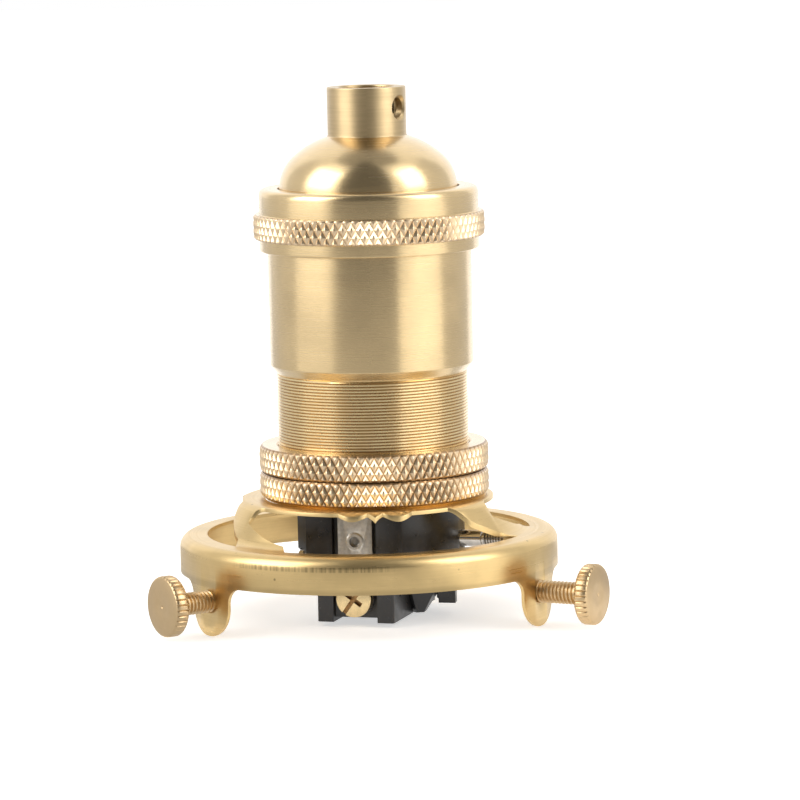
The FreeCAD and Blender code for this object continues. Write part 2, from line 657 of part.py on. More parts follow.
def make_shade_fitter():
    body = new_body("shade_fitter")
    body.setExpression("Placement.Base.x", bound("-fitter_offset"))
    corners, arcs = fitter_profile()
    revolve(body, "fitter_pressing", corners, arcs)

    window_sketch = new_sketch(body, "window_plan", "XY_Plane", "-lower_nut_bottom + beyond")
    corners, arcs = window_outline()
    draw_outline(window_sketch, corners, arcs)
    window = extrude(body, "Pocket", "window", window_sketch, "skirt_depth - lower_nut_bottom")

    half_angle = "(ear_half_width / gallery_radius * 180 / pi)"
    first = f"(ear_azimuth + {half_angle})"
    last = f"(ear_azimuth + ear_spacing - {half_angle})"
    outside = "gallery_radius + beyond"
    inside = "gallery_radius - sheet - beyond"
    trim_sketch = new_sketch(body, "ear_trim_plan", "XY_Plane", "-skirt_depth")
    outline = [
        polar(outside, first),
        polar(outside, last),
        polar(inside, last),
        polar(inside, first),
    ]
    draw_outline(trim_sketch, outline, {0: (outside, 1), 2: (inside, -1)})
    trim = extrude(body, "Pocket", "ear_trim", trim_sketch, "ear_depth - skirt_depth + beyond")

    hole_sketch = new_sketch(body, "ear_hole_plan", "XZ_Plane", turn="ear_azimuth")
    draw_circle(hole_sketch, "ear_hole_radius", "0", "-screw_depth")
    hole = extrude(body, "Pocket", "ear_hole", hole_sketch, "gallery_radius + beyond", backwards=True)
    polar_pattern(body, "thirds", [window, trim, hole], THIRDS)
    doc.recompute()

    skirt_height = -number("skirt_depth")
    tip_height = -number("ear_depth")
    thickness = number("sheet")
    break_edges(
        body,
        "Fillet",
        "ear_roots",
        lambda edge, middle: abs(middle.z - skirt_height) < NEAR and abs(edge.Length - thickness) < ROUGHLY,
        "ear_root_radius",
    )
    break_edges(
        body,
        "Fillet",
        "ear_ends",
        lambda edge, middle: abs(middle.z - tip_height) < NEAR and abs(edge.Length - thickness) < ROUGHLY,
        "ear_end_radius",
    )
    return body


# Thumb screws: fluted disc heads on plain shanks, drawn along +X from the head's inner face


def make_thumb_screw(label, reach, azimuth):
    body = new_body(label)
    corners = [
        ("-thumb_shank_length", "0"),
        ("thumb_head_thickness", "0"),
        ("thumb_head_thickness", "thumb_head_radius"),
        ("0", "thumb_head_radius"),
        ("0", "thumb_shank_radius"),
        ("thumb_tip - thumb_shank_length", "thumb_shank_radius"),
        ("-thumb_shank_length", "thumb_shank_radius - thumb_tip"),
    ]
    revolve(body, label + "_turning", corners, axis="H_Axis")
    rim = number("thumb_head_radius")

    def on_rim(edge, middle):
        return isinstance(edge.Curve, Part.Circle) and abs(edge.Curve.Radius - rim) < NEAR

    break_edges(body, "Chamfer", label + "_edge", on_rim, "thumb_edge")
    sketch = new_sketch(body, label + "_flute_plan", "YZ_Plane", "-beyond")
    draw_outline(
        sketch,
        [
            ("0", "thumb_head_radius - flute_depth"),
            ("flute_half_width", "thumb_head_radius + flute_depth"),
            ("-flute_half_width", "thumb_head_radius + flute_depth"),
        ],
    )
    flute_length = "thumb_head_thickness + 2 * beyond"
    flute = extrude(body, "Pocket", label + "_flute", sketch, flute_length, backwards=True)
    polar_pattern(body, label + "_flutes", [flute], FLUTE_COUNT, "X_Axis")
    place_radially(body, reach, azimuth, "screw_depth", "-fitter_offset")
    return body


def place_radially(body, reach, azimuth, depth, aside="0"):
    """Stand a piece drawn along +X so that it points outwards at an azimuth, moved aside along X."""
    across, along = polar(reach, azimuth)
    body.Placement = Placement(Vector(), Rotation(Vector(0, 0, 1), 90))
    body.setExpression("Placement.Base.x", bound(f"{across} + {aside}"))
    body.setExpression("Placement.Base.y", bound(along))
    body.setExpression("Placement.Base.z", bound(f"-{depth}"))
    body.setExpression("Placement.Rotation.Angle", bound(f"{azimuth} - 90"))


# Socket core: moulded body with terminal blocks, drawn square and turned about the axis


def make_core_body():
    body = new_body("core_body", turned="core_turn")
    pad_disc(body, "drum", "core_radius", "-drum_bottom_depth", "-core_top_depth")
    block = pad(
        body,
        "terminal_block",
        rectangle("-block_half_width", "block_half_width", "-core_front", "-block_inner"),
        "-core_foot_depth",
        "-drum_bottom_depth",
    )
    barrier = pad(
        body,
        "side_barrier",
        [
            ("barrier_inner", "-barrier_half"),
            ("barrier_edge", "-barrier_front"),
            ("barrier_outer", "-barrier_half"),
            ("barrier_outer", "barrier_half"),
            ("barrier_inner", "barrier_half"),
        ],
        "-core_foot_depth",
        "-drum_bottom_depth",
    )
    barrier.setExpression("TaperAngle", bound("barrier_draft"))
    polar_pattern(body, "half_turn", [block, barrier], 2)
    pad(
        body,
        "skirt_lug",
        [
            polar("lug_radius", "lug_start"),
            polar("lug_radius", "lug_end"),
            polar("lug_radius - lug_thickness", "lug_end"),
            polar("lug_radius - lug_thickness", "lug_start"),
        ],
        "-core_foot_depth + lug_rise",
        "-drum_bottom_depth",
        {0: ("lug_radius", 1), 2: ("lug_radius - lug_thickness", -1)},
    )
    pad_disc(body, "centre_boss", "boss_radius", "-core_foot_depth + boss_rise", "-drum_bottom_depth")

    front = sink(
        body,
        "front_flat",
        rectangle("-core_radius", "core_radius", "-core_radius - beyond", "-core_front"),
        "-drum_bottom_depth - beyond",
        "-core_top_depth",
    )
    recess = sink(
        body,
        "terminal_recess",
        rectangle("-recess_half_width", "recess_half_width", "-core_radius - beyond", "-recess_floor"),
        "-core_foot_depth - beyond",
        "-core_top_depth",
    )
    rise = sink(
        body,
        "recess_foot",
        rectangle("-recess_half_width", "recess_half_width", "-core_front - beyond", "-recess_foot"),
        "-core_foot_depth - beyond",
        "recess_rise - core_foot_depth",
    )
    screw_sketch = new_sketch(body, "terminal_hole_plan", "XZ_Plane")
    draw_circle(screw_sketch, "terminal_shank_radius + small_clearance", "0", "-terminal_depth")
    draw_circle(screw_sketch, "eyelet_radius", "0", "-eyelet_depth")
    screw_hole = extrude(body, "Pocket", "terminal_holes", screw_sketch, "core_radius", backwards=True)
    polar_pattern(body, "both_sides", [front, recess, rise, screw_hole], 2)
    pad(
        body,
        "inner_wall",
        rectangle("-block_half_width", "block_half_width", "-web_half_thickness", "web_half_thickness"),
        "-core_foot_depth + boss_rise",
        "-chamber_floor_depth",
    )
    sink(
        body,
        "left_flat",
        rectangle("-core_radius - beyond", "-core_flat", "-core_radius", "core_radius"),
        "-core_foot_depth - beyond",
        "-core_top_depth",
    )
    sink(
        body,
        "switch_chamber",
        rectangle("-chamber_left", "chamber_right", "-chamber_half_width", "chamber_half_width"),
        "-chamber_floor_depth",
        "-core_top_depth",
    )
    slot_half = "strip_half_width + moulded_clearance"
    sink(
        body,
        "front_strip_slot",
        rectangle(f"-({slot_half})", slot_half, "-recess_floor - moulded_clearance", "-chamber_half_width"),
        "-core_top_depth - slot_wall",
        "-core_top_depth",
    )
    shaft_sketch = new_sketch(body, "shaft_bore_plan", "YZ_Plane", "-shaft_inner_end - moulded_clearance")
    draw_circle(shaft_sketch, "shaft_radius + small_clearance", "0", "-shaft_depth")
    bore_length = "shaft_inner_end + core_radius + beyond"
    extrude(body, "Pocket", "shaft_bore", shaft_sketch, bore_length, backwards=True)
    bore_seat(
        body,
        "side_screw_seat",
        "side_screw_azimuth",
        [
            ("side_seat_reach - side_shank_length", "-side_screw_depth"),
            ("core_radius + beyond", "-side_screw_depth"),
            ("core_radius + beyond", "side_seat_radius - side_screw_depth"),
            ("side_seat_reach", "side_seat_radius - side_screw_depth"),
            ("side_seat_reach", "side_shank_radius - side_screw_depth"),
            ("side_seat_reach - side_shank_length", "side_shank_radius - side_screw_depth"),
        ],
    )
    doc.recompute()

    foot_height = -number("core_foot_depth")
    drum_height = -number("drum_bottom_depth")
    corner = (number("block_half_width"), number("core_front"))

    def outer_upright(edge, middle):
        upright = abs(edge.Length - abs(drum_height - foot_height)) < ROUGHLY
        return upright and abs(abs(middle.x) - corner[0]) < NEAR and abs(abs(middle.y) - corner[1]) < NEAR

    break_edges(body, "Fillet", "block_corners", outer_upright, "moulding_round")
    return body


def make_core_cover():
    body = new_body("core_cover", turned="core_turn")
    low = "-core_top_depth"
    high = "-core_top_depth + cover_thickness"
    pad_disc(body, "cover_disc", "core_radius", low, high)
    gap_floor = "-recess_floor + moulded_clearance"
    gap = sink(
        body,
        "strip_gap",
        rectangle("-recess_half_width", "recess_half_width", "-core_radius - beyond", gap_floor),
        low,
        high,
    )
    polar_pattern(body, "strip_gaps", [gap], 2)
    stem_sketch = new_sketch(body, "stem_hole_plan", "XY_Plane", high)
    draw_circle(stem_sketch, "contact_stem_radius")
    draw_circle(stem_sketch, "rivet_radius", "-rivet_reach", "0")
    draw_circle(stem_sketch, "rivet_radius", "rivet_reach", "0")
    extrude(body, "Pocket", "stem_hole", stem_sketch, "cover_thickness + beyond")
    return body


def make_socket_sleeve():
    body = new_body("socket_sleeve", turned="core_turn")
    corners = [
        ("sleeve_bore_radius", "-core_top_depth + cover_thickness"),
        ("sleeve_radius", "-core_top_depth + cover_thickness"),
        ("sleeve_radius", "-shoulder_depth"),
        ("sleeve_flange_radius", "-shoulder_depth"),
        ("sleeve_flange_radius", "-sleeve_top_depth"),
        ("sleeve_bore_radius", "-sleeve_top_depth"),
    ]
    revolve(body, "sleeve_moulding", corners)
    slot_half = "strip_half_width + moulded_clearance"
    gap = sink(
        body,
        "strip_passage",
        rectangle(f"-({slot_half})", slot_half, "-core_radius - beyond", "-recess_floor"),
        "-core_top_depth + cover_thickness",
        "-core_top_depth + cover_thickness + strip_thickness",
    )
    polar_pattern(body, "strip_passages", [gap], 2)
    return body


# Lamp screw shell: thin rolled cup, its thread drawn as rings one pitch apart


def make_lamp_screw_shell():
    body = new_body("lamp_screw_shell", turned="core_turn")
    floor = "(-core_top_depth + cover_thickness + strip_thickness)"
    crest = "(lamp_thread_radius - lamp_wall)"
    root = "(lamp_thread_radius - lamp_thread_depth - lamp_wall)"
    thread_top = "(-sleeve_top_depth - lamp_plain_rim)"
    inner = [("lamp_floor_hole", f"{floor} + lamp_wall")]
    inner.append((crest, f"{floor} + lamp_wall"))
    outer = [("lamp_floor_hole", floor)]
    outer.append((f"{crest} + lamp_wall", floor))
    for turn in range(LAMP_TURNS, 0, -1):
        low = f"{thread_top} - {turn} * lamp_pitch"
        middle = f"{low} + lamp_pitch / 2"
        inner.extend([(crest, low), (root, middle)])
        outer.extend([(f"{crest} + lamp_wall", low), (f"{root} + lamp_wall", middle)])
    inner.append((crest, thread_top))
    inner.append((crest, "-sleeve_top_depth + lamp_wall"))
    inner.append(("lamp_lip_radius", "-sleeve_top_depth + lamp_wall"))
    outer.append((f"{crest} + lamp_wall", thread_top))
    outer.append((f"{crest} + lamp_wall", "-sleeve_top_depth"))
    outer.append(("lamp_lip_radius", "-sleeve_top_depth"))
    revolve(body, "screw_shell_rolling", inner + outer[::-1])
    rivet_sketch = new_sketch(body, "shell_rivet_plan", "XY_Plane", f"{floor} + lamp_wall")
    draw_circle(rivet_sketch, "rivet_radius", "-rivet_reach", "0")
    draw_circle(rivet_sketch, "rivet_radius", "rivet_reach", "0")
    extrude(body, "Pocket", "shell_rivet_holes", rivet_sketch, "lamp_wall + beyond")
    return body


def make_shell_rivets():
    """Two rivets through the screw shell's floor and the cover, in one node."""
    low = "(-core_top_depth)"
    floor_top = "(-core_top_depth + cover_thickness + strip_thickness + lamp_wall)"
    solids = []
    for side in (-1, 1):
        stem = doc.addObject("Part::Cylinder", "rivet_stem")
        stem.setExpression("Radius", bound("rivet_radius"))
        stem.setExpression("Height", bound(f"{floor_top} - {low}"))
        stem.setExpression("Placement.Base.x", bound(f"{side} * rivet_reach"))
        stem.setExpression("Placement.Base.z", bound(low))
        head = doc.addObject("Part::Cone", "rivet_head")
        head.setExpression("Radius1", bound("rivet_head_radius"))
        head.setExpression("Radius2", bound("rivet_crown_radius"))
        head.setExpression("Height", bound("rivet_head_height"))
        head.setExpression("Placement.Base.x", bound(f"{side} * rivet_reach"))
        head.setExpression("Placement.Base.z", bound(floor_top))
        rivet = doc.addObject("Part::MultiFuse", "rivet")
        rivet.Shapes = [stem, head]
        solids.append(rivet)
    pair = doc.addObject("Part::Compound", "shell_rivets")
    pair.Label = "shell_rivets"
    pair.Links = solids
    pair.Placement = Placement(Vector(), Rotation(Vector(0, 0, 1), number("core_turn")))
    pair.setExpression("Placement.Rotation.Angle", bound("core_turn"))
    PARTS.append(pair)
    return pair


def make_centre_contact():
    body = new_body("centre_contact", turned="core_turn")
    foot = "(-core_top_depth + cover_thickness)"
    corners = [
        ("0", "-core_top_depth - contact_stem_end"),
        ("contact_stem_radius", "-core_top_depth - contact_stem_end"),
        ("contact_stem_radius", foot),
        ("contact_foot_radius", foot),
        ("contact_foot_radius", f"{foot} + contact_foot_height"),
        ("0", f"{foot} + contact_foot_height"),
    ]
    revolve(body, "contact_rivet", corners)
    sketch = new_sketch(body, "tongue_side", "XZ_Plane")
    draw_outline(
        sketch,
        [
            ("-tongue_root_left", f"{foot} + tongue_root_rise"),
            ("tongue_tip", f"{foot} + tongue_tip_rise"),
            ("tongue_end", f"{foot} + tongue_end_rise"),
            ("tongue_under", f"{foot} + tongue_under_rise"),
            ("-tongue_root_right", f"{foot} + tongue_root_rise"),
        ],
    )
    extrude(body, "Pad", "tongue", sketch, "2 * tongue_half_width", side="Symmetric")
    return body


def make_switch_spring():
    body = new_body("switch_spring", turned="core_turn")
    sketch = new_sketch(body, "spring_side", "XZ_Plane")
    top = "(-core_top_depth - contact_stem_end)"
    draw_outline(
        sketch,
        [
            ("-leaf_half_length", top),
            ("-leaf_half_length", f"{top} - leaf_thickness"),
            ("leaf_tip", f"{top} - leaf_drop"),
            ("leaf_tip + leaf_thickness", f"{top} - leaf_drop + leaf_thickness"),
            ("-leaf_bend", f"{top} - leaf_thickness"),
            ("leaf_half_length", f"{top} - leaf_thickness"),
            ("leaf_half_length", top),
        ],
    )
    extrude(body, "Pad", "spring_leaf", sketch, "2 * tongue_half_width", side="Symmetric")
    return body


# Terminal strips, their eyelets and screws; the back ones are turned by half a turn


def make_strip(label, turn, top, tab_end):
    """Flat strip up the front of the core, with a tab bent inwards at its top."""
    body = new_body(label, turned=turn)
    sketch = new_sketch(body, label + "_side", "YZ_Plane")
    draw_outline(
        sketch,
        [
            ("-recess_floor", "-strip_bottom_depth"),
            ("-recess_floor", f"{top} - strip_thickness"),
            (tab_end, f"{top} - strip_thickness"),
            (tab_end, top),
            ("-recess_floor - strip_thickness", top),
            ("-recess_floor - strip_thickness", "-strip_bottom_depth"),
        ],
    )
    extrude(body, "Pad", label + "_bend", sketch, "2 * strip_half_width", side="Symmetric")
    hole_sketch = new_sketch(body, label + "_holes_plan", "XZ_Plane")
    draw_circle(hole_sketch, "terminal_shank_radius + small_clearance", "0", "-terminal_depth")
    draw_circle(hole_sketch, "eyelet_radius", "0", "-eyelet_depth")
    extrude(body, "Pocket", label + "_holes", hole_sketch, "core_radius + beyond", backwards=True)
    foot_height = -number("strip_bottom_depth")
    thickness = number("strip_thickness")

    def foot_corner(edge, middle):
        return abs(middle.z - foot_height) < NEAR and abs(edge.Length - thickness) < NEAR

    break_edges(body, "Fillet", label + "_end", foot_corner, "strip_end_radius")
    return body


def make_eyelet(label, turn):
    body = new_body(label, turned=turn)
    face = "(recess_floor + strip_thickness)"
    sketch = new_sketch(body, label + "_profile", "YZ_Plane")
    draw_outline(
        sketch,
        [
            (f"eyelet_length - {face}", "eyelet_bore_radius - eyelet_depth"),
            (f"eyelet_length - {face}", "eyelet_radius - eyelet_depth"),
            (f"-{face}", "eyelet_radius - eyelet_depth"),
            (f"-{face}", "eyelet_rim_radius - eyelet_depth"),
            (f"-{face} - eyelet_rim_height", "eyelet_radius - eyelet_depth"),
            (f"-{face} - eyelet_rim_height", "eyelet_bore_radius - eyelet_depth"),
        ],
    )
    height = number("-eyelet_depth")
    axis = sketch.addGeometry(Part.LineSegment(Vector(-1, height, 0), Vector(1, height, 0)), True)
    for end, across in ((1, "-1"), (2, "1")):
        rule = Sketcher.Constraint("DistanceX", -1, 1, axis, end, number(across))
        bind_rule(sketch, rule, f"Axis_x{end}", across)
        rule = Sketcher.Constraint("DistanceY", -1, 1, axis, end, height)
        bind_rule(sketch, rule, f"Axis_y{end}", "-eyelet_depth")
    feature = body.newObject("PartDesign::Revolution", label + "_rolling")
    feature.Profile = sketch
    feature.ReferenceAxis = (sketch, ["Axis0"])
    feature.Angle = 360
    return body


def make_terminal_screw(label, turn):
    """Cheese-head screw drawn along +X, head outwards, with a combined slot and cross."""
    body = new_body(label)
    corners = [
        ("-terminal_shank_length", "0"),
        ("terminal_head_height", "0"),
        ("terminal_head_height", "terminal_head_radius - terminal_edge"),
        ("terminal_head_height - terminal_edge", "terminal_head_radius"),
        ("0", "terminal_head_radius"),
        ("0", "terminal_shank_radius"),
        ("-terminal_shank_length", "terminal_shank_radius"),
    ]
    revolve(body, label + "_turning", corners, axis="H_Axis")
    for name, along, across in (
        ("slot", "terminal_head_radius + beyond", "slot_half_width"),
        ("cross", "slot_half_width", "cross_half_length"),
    ):
        sketch = new_sketch(body, f"{label}_{name}_plan", "YZ_Plane", "terminal_head_height")
        draw_outline(sketch, rectangle(f"-({along})", along, f"-({across})", across))
        extrude(body, "Pocket", f"{label}_{name}", sketch, "slot_depth")
    place_radially(body, "recess_floor + strip_thickness", turn, "terminal_depth")
    return body


def make_side_screw():
    body = new_body("side_screw")
    corners = [
        ("-side_shank_length", "0"),
        ("side_head_height", "0"),
        ("side_head_height", "side_head_radius - side_edge"),
        ("side_head_height - side_edge", "side_head_radius"),
        ("0", "side_head_radius"),
        ("0", "side_shank_radius"),
        ("-side_shank_length", "side_shank_radius"),
    ]
    revolve(body, "side_screw_turning", corners, axis="H_Axis")
    sketch = new_sketch(body, "side_slot_plan", "YZ_Plane", "side_head_height")
    slot_end = "(side_head_radius + beyond)"
    draw_outline(sketch, rectangle("-slot_half_width", "slot_half_width", f"-{slot_end}", slot_end))
    extrude(body, "Pocket", "side_slot", sketch, "slot_depth")
    place_radially(body, "side_seat_reach", "core_turn + side_screw_azimuth", "side_screw_depth")
    return body


# Switch: a shaft that leaves the core on its right, and the cam that it turns


def make_switch_shaft():
    body = new_body("switch_shaft")
    corners = [
        ("-shaft_inner_end", "0"),
        ("shaft_outer_end", "0"),
        ("shaft_outer_end", "shaft_stub_radius - shaft_edge"),
        ("shaft_outer_end - shaft_edge", "shaft_stub_radius"),
        ("shaft_step", "shaft_stub_radius"),
        ("shaft_step", "shaft_radius"),
        ("-shaft_inner_end", "shaft_radius"),
    ]
    revolve(body, "shaft_turning", corners, axis="H_Axis")
    place_radially(body, "0", "core_turn + 90", "shaft_depth")
    return body


def make_switch_rotor():
    body = new_body("switch_rotor")
    corners = [
        ("-rotor_left", "shaft_radius"),
        ("rotor_right", "shaft_radius"),
        ("rotor_right", "rotor_radius"),
        ("-rotor_left", "rotor_radius"),
    ]
    revolve(body, "rotor_moulding", corners, axis="H_Axis")
    sketch = new_sketch(body, "rotor_flat_plan", "YZ_Plane", "-rotor_left")
    draw_outline(sketch, rectangle("-rotor_radius", "rotor_radius", "rotor_flat", "rotor_radius + beyond"))
    flat = extrude(body, "Pocket", "rotor_flat", sketch, "rotor_left + 2 * beyond", backwards=True)
    polar_pattern(body, "rotor_flats", [flat], CAM_FLATS, "X_Axis")
    place_radially(body, "0", "core_turn + 90", "shaft_depth")
    return body


def write_parts():
    doc.recompute()
    for item in doc.Objects:
        if "Invalid" in item.State or "Error" in item.State:
            raise RuntimeError(f"{item.Label}: {item.State}")
    for part in PARTS:
        if part.Shape.isNull() or not part.Shape.isValid():
            raise RuntimeError(f"{part.Label}: no valid shape")
    os.makedirs("parts", exist_ok=True)
    for part in PARTS:
        part.Shape.exportStep(f"parts/{part.Label}.step")
        box = part.Shape.BoundBox
        print(f"{part.Label:22s} {part.Shape.Volume:9.2f} mm3, {len(part.Shape.Solids)} solid(s),"
              f" z {box.ZMin:.2f} to {box.ZMax:.2f}")


make_top_cap()
make_coupling_ring()
make_outer_shell()
make_ring_nut("upper_ring_nut", "upper_nut_top", "upper_nut_bottom", "nut_edge")
make_ring_nut("lower_ring_nut", "lower_nut_top", "lower_nut_bottom", "nut_foot_edge")
make_shade_fitter()
make_thumb_screw("thumb_screw_left", "thumb_left_reach", "ear_azimuth")
make_thumb_screw("thumb_screw_right", "thumb_right_reach", "ear_azimuth + ear_spacing")
make_thumb_screw("thumb_screw_back", "thumb_back_reach", "ear_azimuth + 2 * ear_spacing")
make_core_body()
make_core_cover()
make_socket_sleeve()
make_lamp_screw_shell()
make_shell_rivets()
make_centre_contact()
make_switch_spring()
strip_floor = "(-core_top_depth + cover_thickness + strip_thickness)"
make_strip("front_strip", "core_turn", "-core_top_depth - front_tab_drop", "-front_tab_end")
make_strip("back_strip", "core_turn + 180", strip_floor, "-back_tab_end")
make_eyelet("front_eyelet", "core_turn")
make_eyelet("back_eyelet", "core_turn + 180")
make_terminal_screw("front_terminal_screw", "core_turn")
make_terminal_screw("back_terminal_screw", "core_turn + 180")
make_side_screw()
make_switch_shaft()
make_switch_rotor()
write_parts()
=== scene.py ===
import math

import bmesh
import bpy
import numpy as np
from bpy.props import FloatProperty, FloatVectorProperty, IntProperty, PointerProperty
from mathutils import Matrix, Vector


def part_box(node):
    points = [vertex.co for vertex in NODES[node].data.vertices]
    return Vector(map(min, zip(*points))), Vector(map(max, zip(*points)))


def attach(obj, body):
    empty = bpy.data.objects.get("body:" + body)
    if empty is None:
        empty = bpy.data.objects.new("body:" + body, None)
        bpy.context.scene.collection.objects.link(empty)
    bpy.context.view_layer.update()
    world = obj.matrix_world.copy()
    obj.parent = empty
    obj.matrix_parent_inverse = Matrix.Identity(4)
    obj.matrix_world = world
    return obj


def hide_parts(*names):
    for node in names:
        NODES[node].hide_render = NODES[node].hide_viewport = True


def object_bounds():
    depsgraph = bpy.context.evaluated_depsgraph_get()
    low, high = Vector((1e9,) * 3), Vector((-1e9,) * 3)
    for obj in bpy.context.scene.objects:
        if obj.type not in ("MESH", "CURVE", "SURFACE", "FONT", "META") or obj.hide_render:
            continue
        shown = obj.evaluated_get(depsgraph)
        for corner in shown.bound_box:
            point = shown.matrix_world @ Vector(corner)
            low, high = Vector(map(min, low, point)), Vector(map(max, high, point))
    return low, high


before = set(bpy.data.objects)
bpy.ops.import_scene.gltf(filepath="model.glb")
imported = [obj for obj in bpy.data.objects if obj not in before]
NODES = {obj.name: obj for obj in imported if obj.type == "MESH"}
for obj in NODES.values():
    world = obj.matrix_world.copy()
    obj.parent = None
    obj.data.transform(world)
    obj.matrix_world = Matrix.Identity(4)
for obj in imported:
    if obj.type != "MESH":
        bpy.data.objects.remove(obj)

bl_info = {
    "name": "Brass lamp holder",
    "version": (1, 0, 0),
    "blender": (4, 5, 0),
    "location": "3D View > Sidebar > Lamp holder",
    "description": "Dresses the packed lamp holder: turned, knurled and threaded brass, moulded core, studio",
    "category": "Object",
}

# Meshes are drawn in millimetres in the holder's own frame and scaled to metres when a piece is made.
# Azimuths are turned from the front (-Y) towards the right (+X).
MM = 0.001
CAD_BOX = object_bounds()
COLUMNS = 256
SMALL_COLUMNS = 96
UP = Vector((0, 0, 1))


def linear(hex_colour):
    """Linear RGB of an sRGB colour written as #RRGGBB."""
    levels = [int(hex_colour[i:i + 2], 16) / 255 for i in (1, 3, 5)]
    return [v / 12.92 if v <= 0.04045 else ((v + 0.055) / 1.055) ** 2.4 for v in levels]


def outward(azimuth):
    angle = math.radians(azimuth)
    return Vector((math.sin(angle), -math.cos(angle), 0))


def heights_of(node):
    """Lowest and highest level of a CAD node, in millimetres."""
    low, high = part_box(node)
    return low.z / MM, high.z / MM


def radius_of(node):
    """Outer radius of a CAD node that is turned about the holder's axis, in millimetres."""
    low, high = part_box(node)
    return (high.x - low.x) / 2 / MM


def span_of(node, direction):
    """How far a CAD node reaches along a direction from the holder's axis, in millimetres."""
    reaches = [vertex.co.dot(direction) / MM for vertex in NODES[node].data.vertices]
    return min(reaches), max(reaches)


# Sizes and colours that a user would change


def length(name, description, millimetres):
    return FloatProperty(name=name, description=description, default=millimetres * MM, precision=5,
                         subtype="DISTANCE", unit="LENGTH")


def colour(name, description, hex_colour):
    return FloatVectorProperty(name=name, description=description, default=linear(hex_colour),
                               size=3, min=0, max=1, subtype="COLOR")


class KnurlSizes(bpy.types.PropertyGroup):
    """Diamond knurls of the coupling ring and the ring nuts"""
    diamonds: IntProperty(name="Diamonds", description="Diamonds round a ring", default=82, min=12)
    diamond_height: length("Diamond height", "Height of one diamond", 2.75)
    depth: length("Depth", "Depth of the rolled grooves", 0.34)
    point: FloatProperty(name="Point", description="Share of a diamond's height below its blunt point",
                         default=0.8, min=0.1, max=1, subtype="FACTOR")


class ThreadSizes(bpy.types.PropertyGroup):
    """Threads that the solids show as plain cylinders"""
    shell_pitch: length("Shell pitch", "Pitch of the shell's outer thread", 0.53)
    shell_depth: length("Shell depth", "Depth of the shell's outer thread", 0.19)
    neck_pitch: length("Neck pitch", "Pitch of the neck's M10 thread", 1.0)
    screw_pitch: length("Screw pitch", "Pitch of the M4 thumb screws", 0.7)
    shaft_pitch: length("Shaft pitch", "Pitch of the M3 thread on the shaft's end", 0.5)


class MetalColours(bpy.types.PropertyGroup):
    """Colours of the metals and the moulding"""
    turned: colour("Turned brass", "Satin turned brass of cap, ring and shell", "#E4C896")
    # Painted sheen: the knurls are coloured paler and rosier than the turned brass of the same parts.
    knurled: colour("Knurled brass", "Rolled diamonds, brighter and rosier", "#F2D6AE")
    # Painted shade: this colour darkens the bottoms of the knurl grooves and the screw slots.
    groove_shade: colour("Knurl grooves", "Tarnish in the bottom of the grooves", "#A98458")
    stamped: colour("Stamped brass", "Rolled sheet of the shade fitter", "#E1C38A")
    screw: colour("Screw brass", "Turned thumb screws", "#CFB389")
    polished: colour("Polished brass", "Bright terminal screws", "#DEC594")
    bronze: colour("Spring bronze", "Rolled contact strip", "#B98A5A")
    nickel: colour("Nickel", "Nickel plate on shaft and side screw", "#C9C4BD")
    tin: colour("Tinned brass", "Dull tinned terminal strips", "#CCC7BE")
    phenolic: colour("Phenolic", "Moulded core", "#120F0E")


class StudioSizes(bpy.types.PropertyGroup):
    """Camera and lamps"""
    camera_distance: length("Camera distance", "From the holder's axis to the camera", 800)
    camera_height: length("Camera height", "Camera above the neck's mouth", 42.71)
    camera_tilt: FloatProperty(name="Camera tilt", description="Downward tilt of the camera",
                               default=math.radians(6.94), subtype="ANGLE", unit="ROTATION")
    camera_roll: FloatProperty(name="Camera roll", description="The holder leans left in the picture by this",
                               default=math.radians(1.25), subtype="ANGLE", unit="ROTATION")
    lens: FloatProperty(name="Lens", description="Focal length on a 36 mm sensor", default=208, unit="CAMERA")
    shift: FloatProperty(name="Shift", description="Sideways lens shift that places the holder",
                         default=0.034)
    softbox_level: FloatProperty(name="Softbox level", default=3.0, min=0,
                                 description="Brightness of both softboxes, where white is 1")
    room_light: FloatProperty(name="Room light", description="Even light from all sides", default=0.5, min=0)
    front_card: FloatProperty(name="Front card", description="Brightness of the dark card behind the camera",
                              default=0.14, min=0)
    side_card: FloatProperty(name="Side cards", description="Brightness of the cards at both sides",
                             default=0.8, min=0)
    ceiling: FloatProperty(name="Ceiling", description="Brightness of the dim ceiling", default=0.36, min=0)


class LampHolderSettings(bpy.types.PropertyGroup):
    """All settings of the lamp holder"""
    knurl: PointerProperty(type=KnurlSizes)
    thread: PointerProperty(type=ThreadSizes)
    metal: PointerProperty(type=MetalColours)
    studio: PointerProperty(type=StudioSizes)


# Profiles and skins: points are (radius, height) in millimetres


# A profile that ends on the axis stops just short of it, so that its last ring stays a ring.
CENTRE = 0.001


def rounded(corners, radius, steps=4):
    """Closed profile with curved corners; a corner may give its own radius as a third value."""
    # A curve takes at most this share of each of its edges.
    longest = 0.45
    points = []
    for index, corner in enumerate(corners):
        here = Vector(corner[:2])
        size = corner[2] if len(corner) > 2 else radius
        if size == 0:
            points.append(here)
            continue
        before = Vector(corners[index - 1][:2]) - here
        after = Vector(corners[(index + 1) % len(corners)][:2]) - here
        reach = size / math.tan(before.angle(after) / 2)
        reach = min(reach, longest * before.length, longest * after.length)
        first = here + before.normalized() * reach
        last = here + after.normalized() * reach
        for step in range(steps + 1):
            share = step / steps
            points.append(first * (1 - share) ** 2 + here * 2 * share * (1 - share) + last * share ** 2)
    return points


def arc(centre, radius, start, end, steps=12):
    """Points of an arc, with angles in degrees from the outward direction; they take no rounding."""
    points = []
    for step in range(steps + 1):
        angle = math.radians(start + (end - start) * step / steps)
        points.append((centre[0] + radius * math.cos(angle), centre[1] + radius * math.sin(angle), 0))
    return points


